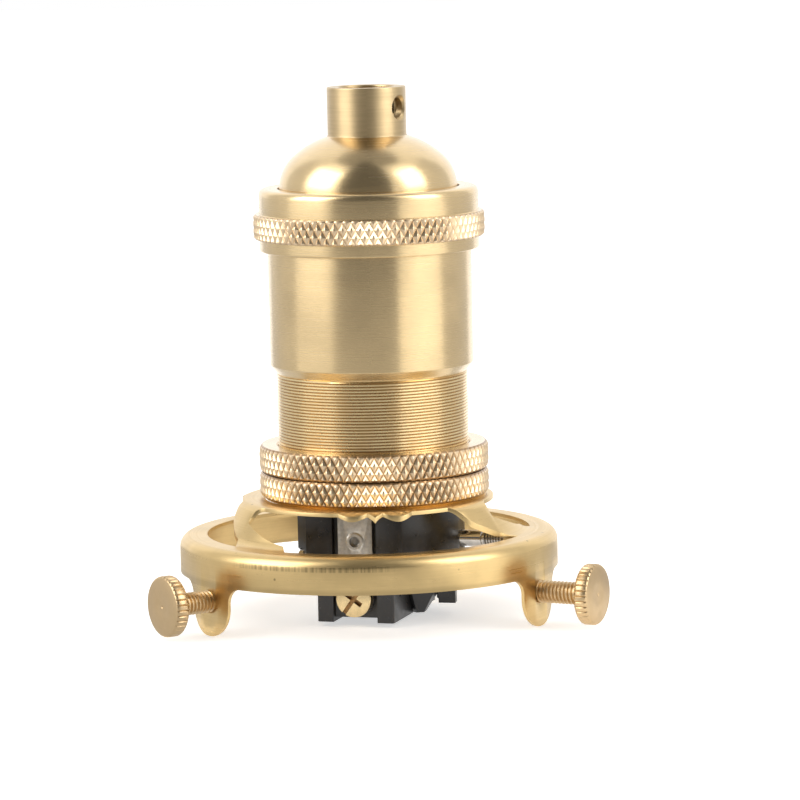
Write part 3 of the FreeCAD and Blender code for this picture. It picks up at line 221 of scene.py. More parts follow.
def skin(radii, heights, closed=False, lift=0, flipped=False, diagonals=None):
    """Points and faces of rows by columns round the axis; a helix joins its last column lift rows up."""
    rows, columns = radii.shape
    angles = np.arange(columns) * 2 * math.pi / columns
    points = np.stack([radii * np.sin(angles), -radii * np.cos(angles), heights], axis=-1).reshape(-1, 3)
    index = np.arange(rows * columns).reshape(rows, columns)
    beside = np.roll(index, -1, axis=1)
    beside[:, -1] += lift * columns
    if closed:
        corners = [index, beside, np.roll(beside, -1, axis=0), np.roll(index, -1, axis=0)]
    else:
        corners = [index[:-1], beside[:-1], beside[1:], index[1:]]
    quads = np.stack(corners, axis=-1)
    if flipped:
        quads = quads[..., ::-1]
    if diagonals is None:
        faces = quads.reshape(-1, 4)
        return points, faces[faces.max(axis=1) < rows * columns].tolist()
    rising = quads[diagonals]
    falling = quads[~diagonals]
    triangles = [rising[:, [0, 1, 2]], rising[:, [0, 2, 3]], falling[:, [0, 1, 3]], falling[:, [1, 2, 3]]]
    return points, np.concatenate(triangles).tolist()


def turned(profile, columns=COLUMNS):
    """A closed profile turned about the axis."""
    rows = np.array([[point[0], point[1]] for point in profile])
    radii = np.repeat(rows[:, :1], columns, axis=1)
    heights = np.repeat(rows[:, 1:], columns, axis=1)
    return skin(radii, heights, closed=True)


def thread(turn, pitch, bottom, top, end_radius, columns=COLUMNS, flipped=False):
    """A right-handed thread; turn lists (share of the pitch, radius) over one turn."""
    turns = math.ceil((top - bottom) / pitch) + 1
    shares = np.array([share + number for number in range(-1, turns) for share, radius in turn])
    radii = np.array([radius for number in range(-1, turns) for share, radius in turn])
    rise = np.arange(columns) / columns
    heights = bottom + pitch * (shares[:, None] + rise)
    radii = np.repeat(radii[:, None], columns, axis=1)
    radii[(heights < bottom) | (heights > top)] = end_radius
    return skin(radii, np.clip(heights, bottom, top), lift=len(turn), flipped=flipped)


def coarse_turn(root, crest):
    """One turn of a thread with sloping flanks, a narrow flat crest and a flat root."""
    return [(0.0, root), (0.12, root), (0.42, crest), (0.6, crest), (0.9, root)]


def knurled(knurl, band_radius, bottom, top, bottom_edge, top_edge, rest):
    """A turning with a diamond-knurled band; rest is its profile from the band's top round to its foot."""
    samples = 4
    columns = 2 * knurl.diamonds * samples
    step = knurl.diamond_height / MM / 2 / samples
    rows = round((top - bottom) / step)
    levels = np.linspace(bottom, top, rows + 1)
    across = np.arange(columns)[None, :] / samples
    along = np.arange(rows + 1)[:, None] / samples
    rise = (across + along) / 2
    fall = (across - along) / 2
    away = np.maximum(abs(rise - np.round(rise)), abs(fall - np.round(fall)))
    shape = np.minimum(1, (1 - 2 * away) / knurl.point)
    radii = band_radius - knurl.depth / MM * (1 - shape)
    edge = np.maximum(bottom_edge - (levels - bottom), top_edge - (top - levels))
    radii = np.minimum(radii, band_radius - np.maximum(edge, 0)[:, None])
    heights = np.repeat(levels[:, None], columns, axis=1)
    plain = np.array([[point[0], point[1]] for point in rest])
    radii = np.concatenate([radii, np.repeat(plain[:, :1], columns, axis=1)])
    heights = np.concatenate([heights, np.repeat(plain[:, 1:], columns, axis=1)])
    blocks = np.arange(columns)[None, :] // samples + np.arange(len(radii))[:, None] // samples
    return skin(radii, heights, closed=True, diagonals=blocks % 2 == 1)


def flutes(count, radius, depth, columns):
    """Radius of each column of a straight-knurled rim: grooves that take 1 / slope of their spacing."""
    slope = 3.4
    phase = np.arange(columns) * count / columns
    away = 1 - 2 * abs(phase - np.round(phase))
    return radius - depth * np.clip(away * slope - (slope - 1), 0, 1)


# Pieces


def linked(name, data):
    """An object with that data, in the scene."""
    thing = bpy.data.objects.new(name, data)
    bpy.context.scene.collection.objects.link(thing)
    return thing


def new_piece(name, parts, place=None):
    """A mesh object made of parts, each (points, faces) in millimetres, set by a matrix in millimetres."""
    same_place = 1e-4
    shape = bmesh.new()
    for points, faces in parts:
        corners = [shape.verts.new(point) for point in points]
        for face in faces:
            shape.faces.new([corners[index] for index in face])
    bmesh.ops.remove_doubles(shape, verts=shape.verts, dist=same_place)
    bmesh.ops.dissolve_degenerate(shape, edges=shape.edges, dist=same_place)
    if place is not None:
        bmesh.ops.transform(shape, matrix=place, verts=shape.verts)
    bmesh.ops.scale(shape, vec=(MM, MM, MM), verts=shape.verts)
    mesh = bpy.data.meshes.new(name)
    shape.to_mesh(mesh)
    shape.free()
    return linked(name, mesh)


def applied(piece):
    """Replace the piece's mesh by what its modifiers make of it."""
    graph = bpy.context.evaluated_depsgraph_get()
    mesh = bpy.data.meshes.new_from_object(piece.evaluated_get(graph))
    piece.modifiers.clear()
    piece.data = mesh
    return piece


def cut(piece, cutter):
    """Take a closed cutter away from a closed piece."""
    modifier = piece.modifiers.new("cut", "BOOLEAN")
    modifier.operation = "DIFFERENCE"
    modifier.solver = "EXACT"
    modifier.object = cutter
    applied(piece)
    bpy.data.objects.remove(cutter)


def block(name, size, place):
    """A closed box, centred on its place, in millimetres."""
    shape = bmesh.new()
    bmesh.ops.create_cube(shape, size=1)
    bmesh.ops.scale(shape, vec=size, verts=shape.verts)
    points = [vertex.co.copy() for vertex in shape.verts]
    faces = [[vertex.index for vertex in face.verts] for face in shape.faces]
    shape.free()
    return new_piece(name, [(points, faces)], place)


def softened_copy(node, name, edge, segments=2):
    """A copy of a CAD node's mesh with its sharp edges broken by a small radius, in millimetres."""
    same_plane = math.radians(1)
    sharp = math.radians(32)
    piece = linked(name, NODES[node].data.copy())
    shape = bmesh.new()
    shape.from_mesh(piece.data)
    bmesh.ops.remove_doubles(shape, verts=shape.verts, dist=1e-6)
    bmesh.ops.dissolve_limit(shape, angle_limit=same_plane, verts=shape.verts, edges=shape.edges)
    shape.to_mesh(piece.data)
    shape.free()
    bevel = piece.modifiers.new("edge", "BEVEL")
    bevel.width = edge * MM
    bevel.segments = segments
    bevel.limit_method = "ANGLE"
    bevel.angle_limit = sharp
    bevel.harden_normals = False
    return applied(piece)


def standing_on(direction, reach, height):
    """Matrix that turns +Z to a direction, from a point that far out at that height."""
    direction = direction.normalized()
    turn = UP.rotation_difference(direction).to_matrix().to_4x4()
    return Matrix.Translation(direction * reach + UP * height) @ turn


def placed_as(node, direction, reach):
    """Matrix that turns +Z to the direction of a turned CAD node, on the node's own axis."""
    low, high = heights_of(node)
    beside = UP.cross(direction)
    left, right = span_of(node, beside)
    sideways = Matrix.Translation(beside * (left + right) / 2)
    return sideways @ standing_on(direction, reach, (low + high) / 2)


# Materials


def connect(tree, node, inputs):
    """Set a node's inputs, or link them where the value is another node's socket."""
    for key, value in inputs.items():
        if isinstance(value, bpy.types.NodeSocket):
            tree.links.new(value, node.inputs[key])
        else:
            node.inputs[key].default_value = value


def add_node(tree, kind, inputs=None, **settings):
    """A node with its settings, and its inputs set or linked."""
    node = tree.nodes.new(kind)
    for key, value in settings.items():
        setattr(node, key, value)
    connect(tree, node, inputs or {})
    return node


def new_material(name):
    material = bpy.data.materials.new(name)
    material.use_nodes = True
    tree = material.node_tree
    return material, tree, tree.nodes["Principled BSDF"]


def darker(levels, share):
    return [level * share for level in levels]


def distance_from_axis(tree):
    """Distance of a point from the holder's axis, in metres."""
    place = add_node(tree, "ShaderNodeTexCoord").outputs["Object"]
    across = add_node(tree, "ShaderNodeVectorMath", {0: place, 1: (1, 1, 0)}, operation="MULTIPLY")
    return add_node(tree, "ShaderNodeVectorMath", {0: across.outputs[0]}, operation="LENGTH").outputs["Value"]


def turning_lines(tree, spacing, wander=0.6):
    """Level of a noise that runs in fine rings about the holder's axis; spacing is in millimetres."""
    place = add_node(tree, "ShaderNodeTexCoord").outputs["Object"]
    x, y, z = add_node(tree, "ShaderNodeSeparateXYZ", {0: place}).outputs
    angle = add_node(tree, "ShaderNodeMath", {0: x, 1: y}, operation="ARCTAN2")
    drift = add_node(tree, "ShaderNodeMath", {0: angle.outputs[0], 1: wander * spacing * MM},
                     operation="MULTIPLY")
    rings = add_node(tree, "ShaderNodeCombineXYZ", {0: distance_from_axis(tree), 1: z, 2: drift.outputs[0]})
    noise = add_node(tree, "ShaderNodeTexNoise", {
        "Vector": rings.outputs[0],
        "Scale": 1 / (spacing * MM),
        "Detail": 2.0,
        "Roughness": 0.6,
    })
    return noise.outputs["Fac"]


def mottling(tree, size, detail=3.0):
    """Level of a soft cloudy noise; size is in millimetres."""
    place = add_node(tree, "ShaderNodeTexCoord").outputs["Object"]
    noise = add_node(tree, "ShaderNodeTexNoise",
                     {"Vector": place, "Scale": 1 / (size * MM), "Detail": detail, "Roughness": 0.55})
    return noise.outputs["Fac"]


def between(tree, level, low, high, soft):
    """One where a level lies between two others, with soft ends."""
    ends = []
    for outside, inside in ((low - soft, low), (high + soft, high)):
        end = add_node(tree, "ShaderNodeMapRange",
                       {"Value": level, "From Min": outside, "From Max": inside, "To Min": 0, "To Max": 1})
        ends.append(end.outputs["Result"])
    return add_node(tree, "ShaderNodeMath", {0: ends[0], 1: ends[1]}, operation="MULTIPLY").outputs[0]


def blended(tree, level, first, second, low=0.35, high=0.7, most=1.0):
    """The first colour, with a growing share of the second as a level goes from low to high."""
    ends = [end if isinstance(end, bpy.types.NodeSocket) else (*end, 1) for end in (first, second)]
    share = add_node(tree, "ShaderNodeMapRange",
                     {"Value": level, "From Min": low, "From Max": high, "To Min": 0, "To Max": most})
    mix = add_node(tree, "ShaderNodeMix", {"Factor": share.outputs["Result"], "A": ends[0], "B": ends[1]},
                   data_type="RGBA")
    return mix.outputs["Result"]


def uneven(tree, level, smooth, rough, micrometres=None):
    """Shader inputs of a surface that is rougher, and raised where asked, as a noise's level grows."""
    spread = add_node(tree, "ShaderNodeMapRange",
                      {"Value": level, "From Min": 0.3, "From Max": 0.7, "To Min": smooth, "To Max": rough})
    inputs = {"Roughness": spread.outputs["Result"]}
    if micrometres:
        relief = add_node(tree, "ShaderNodeBump",
                          {"Height": level, "Distance": micrometres * 1e-6, "Strength": 1.0})
        inputs["Normal"] = relief.outputs["Normal"]
    return inputs


def lacquer(roughness):
    """Shader inputs of the thin clear lacquer that keeps brass bright."""
    return {"Coat Weight": 0.6, "Coat Roughness": roughness}


def satin_turned_brass(metal, name, spacing, roughness, shade, marks):
    """Free-cutting brass, fine turned: rings of tool marks spread each highlight along the axis."""
    # Real tool marks are about 0.1 mm apart, too fine to show; they are drawn at least three times as coarse.
    material, tree, shader = new_material(name)
    brass = darker(metal.turned, shade)
    lines = turning_lines(tree, spacing)
    tint = blended(tree, mottling(tree, size=6, detail=4), brass, darker(brass, 0.88))
    tint = blended(tree, lines, tint, darker(brass, 0.7), low=0.4, high=0.75, most=0.09 * marks)
    tangent = add_node(tree, "ShaderNodeTangent", direction_type="RADIAL", axis="Z")
    connect(tree, shader, {
        "Base Color": tint,
        "Metallic": 1,
        "Anisotropic": 0.5,
        "Anisotropic Rotation": 0.25,
        "Tangent": tangent.outputs[0],
        **uneven(tree, lines, roughness - 0.02, roughness + 0.04, micrometres=1.8 * marks),
        **lacquer(roughness),
    })
    return material


def cut_thread_brass(thread_sizes, crest):
    """Single-point cut thread: flat crests painted paler as sheen, and grooves darkened brown as painted
    shade.
    """
    material, tree, shader = new_material("cut_thread_brass")
    depth = thread_sizes.shell_depth / MM
    deepest_shade = crest - 0.95 * depth
    unshaded = crest - 0.35 * depth
    clouds = mottling(tree, size=4)
    # Painted sheen: the crests are coloured paler than the turned brass of the shell.
    brass = blended(tree, clouds, linear("#F2DAA6"), linear("#E8CC96"))
    # Painted shade: the thread darkens brown towards the bottoms of its grooves.
    tint = blended(tree, distance_from_axis(tree), linear("#B8935F"), brass, deepest_shade * MM, unshaded * MM)
    connect(tree, shader, {
        "Base Color": tint,
        "Metallic": 1,
        **uneven(tree, clouds, smooth=0.22, rough=0.32),
        **lacquer(roughness=0.2),
    })
    return material


def rolled_knurl_brass(metal, knurl):
    """Brass with rolled diamonds: burnished flanks that sparkle, a paler painted sheen, painted shade in the
    grooves.
    """
    material, tree, shader = new_material("rolled_knurl_brass")
    crest = radius_of("upper_ring_nut")
    depth = knurl.depth / MM
    unshaded = crest - 0.55 * depth
    clouds = mottling(tree, size=2.5)
    # Painted sheen: the diamonds take the paler knurled colour.
    brass = blended(tree, clouds, metal.knurled, darker(metal.knurled, 0.9))
    # Painted shade: the knurl darkens towards the bottoms of its grooves.
    tint = blended(tree, distance_from_axis(tree), metal.groove_shade, brass, (crest - depth) * MM, unshaded * MM)
    connect(tree, shader, {
        "Base Color": tint,
        "Metallic": 1,
        **uneven(tree, clouds, smooth=0.26, rough=0.38),
        **lacquer(roughness=0.25),
    })
    return material


def tool_marks(tree):
    """Short dark dashes that the pressing tool left in a row on the front of the rolled shoulder."""
    row_foot = -79.75
    row_top = -79.1
    start = math.radians(-38)
    end = math.radians(-2)
    # The shoulder is 33 mm out, so a dash is about half a millimetre long.
    dashes_per_radian = 62
    place = add_node(tree, "ShaderNodeTexCoord").outputs["Object"]
    x, y, z = add_node(tree, "ShaderNodeSeparateXYZ", {0: place}).outputs
    forward = add_node(tree, "ShaderNodeMath", {0: y, 1: -1}, operation="MULTIPLY")
    azimuth = add_node(tree, "ShaderNodeMath", {0: x, 1: forward.outputs[0]}, operation="ARCTAN2").outputs[0]
    along = add_node(tree, "ShaderNodeCombineXYZ", {0: azimuth})
    dashes = add_node(tree, "ShaderNodeTexNoise",
                      {"Vector": along.outputs[0], "Scale": dashes_per_radian, "Detail": 1.0})
    marks = add_node(tree, "ShaderNodeMapRange", {
        "Value": dashes.outputs["Fac"],
        "From Min": 0.4,
        "From Max": 0.6,
        "To Min": 0.05,
        "To Max": 0.65,
    })
    row = between(tree, z, row_foot * MM, row_top * MM, 0.2 * MM)
    front = between(tree, azimuth, start, end, 0.15)
    placed = add_node(tree, "ShaderNodeMath", {0: row, 1: front}, operation="MULTIPLY")
    return add_node(tree, "ShaderNodeMath", {0: placed.outputs[0], 1: marks.outputs["Result"]},
                    operation="MULTIPLY").outputs[0]


def satin_stamped_brass(metal):
    """Cold-rolled brass sheet, pressed and brushed round: satin with fine lines, a few small dark pits."""
    # Real brushed lines are about 0.1 mm apart, too fine to show; they are drawn almost three times coarser.
    material, tree, shader = new_material("satin_stamped_brass")
    brass = metal.stamped
    line_spacing = 0.28
    pit_spacing = 5.5
    dark_band_foot = -83.9
    dark_band_top = -83.3
    place = add_node(tree, "ShaderNodeTexCoord").outputs["Object"]
    height = add_node(tree, "ShaderNodeSeparateXYZ", {0: place}).outputs["Z"]
    lines = turning_lines(tree, line_spacing, wander=0.3)
    pits = add_node(tree, "ShaderNodeTexVoronoi", {"Vector": place, "Scale": 1 / (pit_spacing * MM)})
    dark_band = between(tree, height, dark_band_foot * MM, dark_band_top * MM, 0.6 * MM)
    tint = blended(tree, mottling(tree, size=8, detail=4), brass, darker(brass, 0.84))
    tint = blended(tree, lines, tint, darker(brass, 0.66), low=0.4, high=0.75, most=0.16)
    # The skirt is coloured darker in a band at its foot.
    tint = blended(tree, dark_band, tint, darker(brass, 0.5), low=0, high=1, most=0.42)
    tint = blended(tree, tool_marks(tree), tint, darker(brass, 0.3), low=0, high=1)
    tint = blended(tree, pits.outputs["Distance"], tint, darker(brass, 0.25), low=0.05, high=0.03, most=0.7)
    connect(tree, shader, {
        "Base Color": tint,
        "Metallic": 1,
        **uneven(tree, lines, smooth=0.27, rough=0.36, micrometres=2),
    })
    return material


def bright_metal(name, levels, roughness, size, micrometres, shade):
    """Plated or turned metal of small parts: even and semi-bright, with fine handling marks."""
    material, tree, shader = new_material(name)
    clouds = mottling(tree, size)
    connect(tree, shader, {
        "Base Color": blended(tree, clouds, levels, darker(levels, shade)),
        "Metallic": 1,
        **uneven(tree, clouds, roughness - 0.05, roughness + 0.06, micrometres),
    })
    return material


def moulded_phenolic(metal):
    """Wood-filled phenolic, hot pressed: near black, half glossy, faintly clouded, pale dust."""
    material, tree, shader = new_material("moulded_phenolic")
    clouds = mottling(tree, size=1.8, detail=5)
    dust = mottling(tree, size=0.4, detail=2)
    tint = blended(tree, clouds, metal.phenolic, linear("#1D1917"))
    tint = blended(tree, dust, tint, linear("#6A6763"), low=0.66, high=0.76, most=0.35)
    connect(tree, shader, {
        "Base Color": tint,
        "IOR": 1.6,
        **uneven(tree, clouds, smooth=0.26, rough=0.4, micrometres=12),
    })
    return material


MATERIALS = {}
# Radius of the crests of the shell's thread, in millimetres.
THREAD_CREST = 16.6


def make_material(finish, settings):
    """The material of a slot of the record, or of a finish that only this script has."""
    metal = settings.metal
    # Name, spacing of the lines in millimetres, roughness, shade, and how strongly the lines are marked.
    # The neck is turned roughly, which dulls it and widens its highlight; painted shade darkens it too.
    turnings = {
        "spun_brass": ("satin_spun_brass", 0.35, 0.24, 1, 1),
        "turned_brass": ("satin_turned_brass", 0.3, 0.25, 1, 1),
        "neck_brass": ("rough_turned_shaded_neck_brass", 0.45, 0.42, 0.78, 5),
    }
    # Name, colour, roughness, size of the clouds in millimetres, relief in micrometres, shade of the clouds.
    # Screw heads are bright, plated parts smooth and cold, sheet a little dull, slots and tubes dark as
    # painted shade.
    small_parts = {
        "screw_brass": ("turned_screw_brass", metal.screw, 0.34, 3, 1.5, 0.92),
        "polished_brass": ("polished_screw_brass", metal.polished, 0.2, 1.2, 2, 0.9),
        # Painted shade: the slots' walls and floors take the darker groove colour.
        "slot_brass": ("shaded_slot_brass", metal.groove_shade, 0.4, 0.6, 4, 0.6),
        # Painted shade: the tube inside the eyelet is coloured much darker than the strip's tin.
        "eyelet_tube": ("shaded_tinned_tube", darker(metal.tin, 0.45), 0.4, 0.5, 10, 0.6),
        "rolled_brass": ("rolled_sheet_brass", darker(metal.stamped, 0.9), 0.3, 3, 4, 0.85),
        "spring_bronze": ("rolled_phosphor_bronze", metal.bronze, 0.34, 1.2, 4, 0.85),
        "tinned_strip": ("dull_tinned_brass", metal.tin, 0.4, 0.7, 12, 0.72),
        "nickel_plate": ("nickel_plated_steel", metal.nickel, 0.16, 1.2, 4, 0.85),
    }
    if finish in turnings:
        return satin_turned_brass(metal, *turnings[finish])
    if finish in small_parts:
        return bright_metal(*small_parts[finish])
    if finish == "shell_thread":
        return cut_thread_brass(settings.thread, THREAD_CREST)
    if finish == "knurled_brass":
        return rolled_knurl_brass(metal, settings.knurl)
    makers = {"stamped_brass": satin_stamped_brass, "moulded_phenolic": moulded_phenolic}
    return makers[finish](metal)


def material_for(finish, settings):
    """The material of a finish, made once."""
    if finish not in MATERIALS:
        MATERIALS[finish] = make_material(finish, settings)
    return MATERIALS[finish]


def dress(piece, body, slot, settings, nodes=(), sharp=28, finish=None):
    """Shade a piece, give it its slot's finish or another one, and let it ride on a body."""
    mesh = piece.data
    mesh.shade_smooth()
    mesh.set_sharp_from_angle(angle=math.radians(sharp))
    mesh.materials.clear()
    mesh.materials.append(material_for(finish or slot, settings))
    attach(piece, body)
    if nodes:
        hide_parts(*nodes)


def paint_lands(piece, settings, land_radius, finish="turned_brass"):
    """Give the faces inside a radius another finish than the band or dome outside it."""
    mesh = piece.data
    mesh.materials.append(material_for(finish, settings))
    for polygon in mesh.polygons:
        if math.hypot(polygon.center.x, polygon.center.y) < land_radius * MM:
            polygon.material_index = 1


def dress_node(node, slot, settings):
    """Keep a CAD node's shape and give it its finish."""
    mesh = NODES[node].data
    mesh.materials.clear()
    mesh.materials.append(material_for(slot, settings))


# Operators, one for each piece or group of like pieces


class LAMPHOLDER_OT_cap(bpy.types.Operator):
    """Spun dome with its neck, the neck's thread and the empty grub-screw hole"""
    bl_idname = "lampholder.cap"
    bl_label = "Cap"

    def execute(self, context):
        settings = context.scene.lamp_holder
        neck_radius = 6.83
        bore = 4.85
        hole_axis = outward(57)
        hole_height = -3.6
        cap = new_piece("cap_turning", [turned(rounded(self.profile(neck_radius, bore), 0.2))])
        cut(cap, self.hole_cutter(settings, hole_axis, hole_height))
        dress(cap, "cap", "spun_brass", settings, ["top_cap"])
        paint_lands(cap, settings, neck_radius + 0.1, "neck_brass")
        lining = self.neck_thread(settings, bore, hole_axis, hole_height)
        dress(lining, "cap", "spun_brass", settings)
        return {"FINISHED"}

    def neck_thread(self, settings, bore, hole_axis, hole_height):
        """Thread in the neck's bore, left open where the grub-screw hole comes in."""
        crest = 4.35
        depth = 9.0
        lead_in = 0.3
        hole_radius = 1.7
        columns = 160
        mouth = heights_of("top_cap")[1]
        turn = coarse_turn(bore, crest)
        pitch = settings.thread.neck_pitch / MM
        points, faces = thread(turn, pitch, mouth - depth, mouth - lead_in, bore, columns, flipped=True)

        def clear_of_hole(face):
            middle = Vector(np.mean(points[face], axis=0)) - UP * hole_height
            beside = middle - hole_axis * middle.dot(hole_axis)
            return middle.dot(hole_axis) < 0 or beside.length > hole_radius

        return new_piece("neck_thread", [(points, [face for face in faces if clear_of_hole(face)])])

    def profile(self, neck_radius, bore):
        """Section of the dome: two arcs one after the other, a flange below and the neck above."""
        foot, mouth = heights_of("top_cap")
        flange_radius = radius_of("top_cap")
        flange_top = foot + 1.4
        dome_radius = 15.5
        wall = 1.2
        haunch = Vector((7.9, -17.6))
        crown = Vector((2.28, -23.84))
        crown_radius = 16.0
        change = 48
        crown_end = math.degrees(math.acos((neck_radius + 0.45 - crown.x) / crown_radius))
        bore_end = math.degrees(math.acos((bore - crown.x) / (crown_radius - wall)))
        profile = [(bore, mouth, 0.25)]
        profile += arc(crown, crown_radius - wall, bore_end, change, 10)
        profile += arc(haunch, dome_radius - haunch.x - wall, change, 0, 8)
        profile += [
            (dome_radius - wall, foot, 0.2),
            (flange_radius, foot, 0.2),
            (flange_radius, flange_top, 0.2),
            (dome_radius, flange_top, 0.2),
        ]
        profile += arc(haunch, dome_radius - haunch.x, 0, change, 16)
        profile += arc(crown, crown_radius, change, crown_end, 20)[1:]
        profile += [(neck_radius, crown.y + crown_radius * math.sin(math.radians(crown_end)) + 0.2, 0.35)]
        profile += [(neck_radius, mouth, 0.22)]
        return profile

    def hole_cutter(self, settings, axis, height):
        """Cutter for the empty grub-screw hole: a threaded bore, then a countersink at the neck's outside."""
        start = 1.0
        first_turn = 2.0
        turns = 5
        bore = 1.75
        root = 1.95
        crest = 1.65
        sink_radius = 2.35
        sink_foot = 6.2
        sink_mouth = 6.95
        end = 9.0
        pitch = settings.thread.screw_pitch / MM
        profile = [(CENTRE, start), (bore, start)]
        for turn in range(turns):
            profile += [(root, first_turn + turn * pitch), (crest, first_turn + (turn + 0.5) * pitch)]
        profile += [(bore, sink_foot), (sink_radius, sink_mouth), (sink_radius, end), (CENTRE, end)]
        return new_piece("grub_cutter", [turned(profile, SMALL_COLUMNS)], standing_on(axis, 0, height))


class LAMPHOLDER_OT_coupling_ring(bpy.types.Operator):
    """Coupling ring with its diamond-knurled band"""
    bl_idname = "lampholder.coupling_ring"
    bl_label = "Coupling ring"

    def execute(self, context):
        settings = context.scene.lamp_holder
        foot, top = heights_of("coupling_ring")
        band_radius = radius_of("coupling_ring")
        land = 19.07
        lip = 15.8
        bore = 17.79
        flange_top = -19.0
        band_top = -21.69
        band_foot = -26.0
        root = band_radius - settings.knurl.depth / MM
        edge = 0.4
        corner = 0.12
        rest = [(land + corner, band_top), (land, band_top + corner)]
        rest += rounded(
            [
                (land, top, 1.25),
                (lip, top, 0.2),
                (lip, flange_top, 0.1),
                (bore, flange_top, 0.1),
                (bore, foot, 0.25),
                (land, foot, 0.35),
            ],
            0.2,
            6,
        )
        rest += [(land, band_foot - corner), (land + corner, band_foot)]
        parts = [knurled(settings.knurl, band_radius, band_foot, band_top, edge, edge, rest)]
        ring = new_piece("coupling_ring_turning", parts)
        dress(ring, "coupling", "knurled_brass", settings, ["coupling_ring"])
        paint_lands(ring, settings, root - 0.05)
        return {"FINISHED"}


class LAMPHOLDER_OT_shell(bpy.types.Operator):
    """Turned shell, smooth above and finely threaded below"""
    bl_idname = "lampholder.shell"
    bl_label = "Shell"

    def execute(self, context):
        settings = context.scene.lamp_holder
        foot, top = heights_of("outer_shell")
        radius = radius_of("outer_shell")
        bore = 16.75
        thread_bore = 15.75
        shoulder = -48.0
        step = -47.97
        slope_foot = -49.3
        crest = THREAD_CREST
        root = crest - settings.thread.shell_depth / MM
        under_thread = root - 0.02
        profile = rounded(
            [
                (bore, top, 0.2),
                (bore, shoulder, 0),
                (thread_bore, shoulder, 0.1),
                (thread_bore, foot, 0.2),
                (under_thread, foot, 0.3),
                (under_thread, slope_foot - 0.35, 0.1),
                (crest, slope_foot, 0.25),
                (radius, step, 0.35),
                (radius, top, 0.25),
            ],
            0.2,
        )
        shell = new_piece("shell_turning", [turned(profile)])
        dress(shell, "holder", "turned_brass", settings, ["outer_shell"], 40)
        turn = [(0.0, root), (0.08, root), (0.27, crest), (0.77, crest), (0.96, root)]
        pitch = settings.thread.shell_pitch / MM
        ridge = new_piece("shell_thread", [thread(turn, pitch, foot + 0.4, slope_foot - 0.3, root)])
        dress(ridge, "holder", "turned_brass", settings, (), 50, "shell_thread")
        return {"FINISHED"}


class LAMPHOLDER_OT_ring_nuts(bpy.types.Operator):
    """Two knurled ring nuts on the shell's thread"""
    bl_idname = "lampholder.ring_nuts"
    bl_label = "Ring nuts"

    def execute(self, context):
        settings = context.scene.lamp_holder
        bore = 16.68
        bevel = 0.35
        top_edge = 0.5
        top_inset = 0.25
        foot_inset = 0.6
        for node, body, foot_edge in (
            ("upper_ring_nut", "upper_nut", 0.5),
            ("lower_ring_nut", "lower_nut", 0.95),
        ):
            foot, top = heights_of(node)
            radius = radius_of(node)
            root = radius - settings.knurl.depth / MM
            rest = [(root - top_inset, top), (bore + bevel, top), (bore, top - bevel)]
            rest += [(bore, foot + bevel), (bore + bevel, foot), (root - foot_inset, foot)]
            parts = [knurled(settings.knurl, radius, foot, top, foot_edge, top_edge, rest)]
            nut = new_piece(node + "_turning", parts)
            dress(nut, body, "knurled_brass", settings, [node])
            paint_lands(nut, settings, root - bevel)
        return {"FINISHED"}


class LAMPHOLDER_OT_shade_fitter(bpy.types.Operator):
    """Stamped shade fitter with its rolled shoulder, swept arms and ears"""
    bl_idname = "lampholder.shade_fitter"
    bl_label = "Shade fitter"

    def execute(self, context):
        settings = context.scene.lamp_holder
        fitter = softened_copy("shade_fitter", "fitter_pressing", 0.1)
        self.tighten_bend(fitter)
        dress(fitter, "holder", "stamped_brass", settings, ["shade_fitter"])
        return {"FINISHED"}

    def tighten_bend(self, fitter):
        """Bend the sheet over to the skirt in a tighter curve than the solid; its faces keep their places."""
        off_centre = Vector((-1.23, 0, 0))
        skirt_radius = 33.0
        crest = -77.42
        bend = 3.5
        tighter = 1.5
        skin_error = 0.01
        curve = Vector((skirt_radius - bend, crest - bend))
        for vertex in fitter.data.vertices:
            place = vertex.co / MM - off_centre
            radius = math.hypot(place.x, place.y)
            away = Vector((radius, place.z)) - curve
            if min(away) < -skin_error:
                continue
            away += Vector((tighter, tighter)) - away.normalized() * tighter
            share = (curve.x + away.x) / radius
            vertex.co = (off_centre + Vector((place.x * share, place.y * share, curve.y + away.y))) * MM


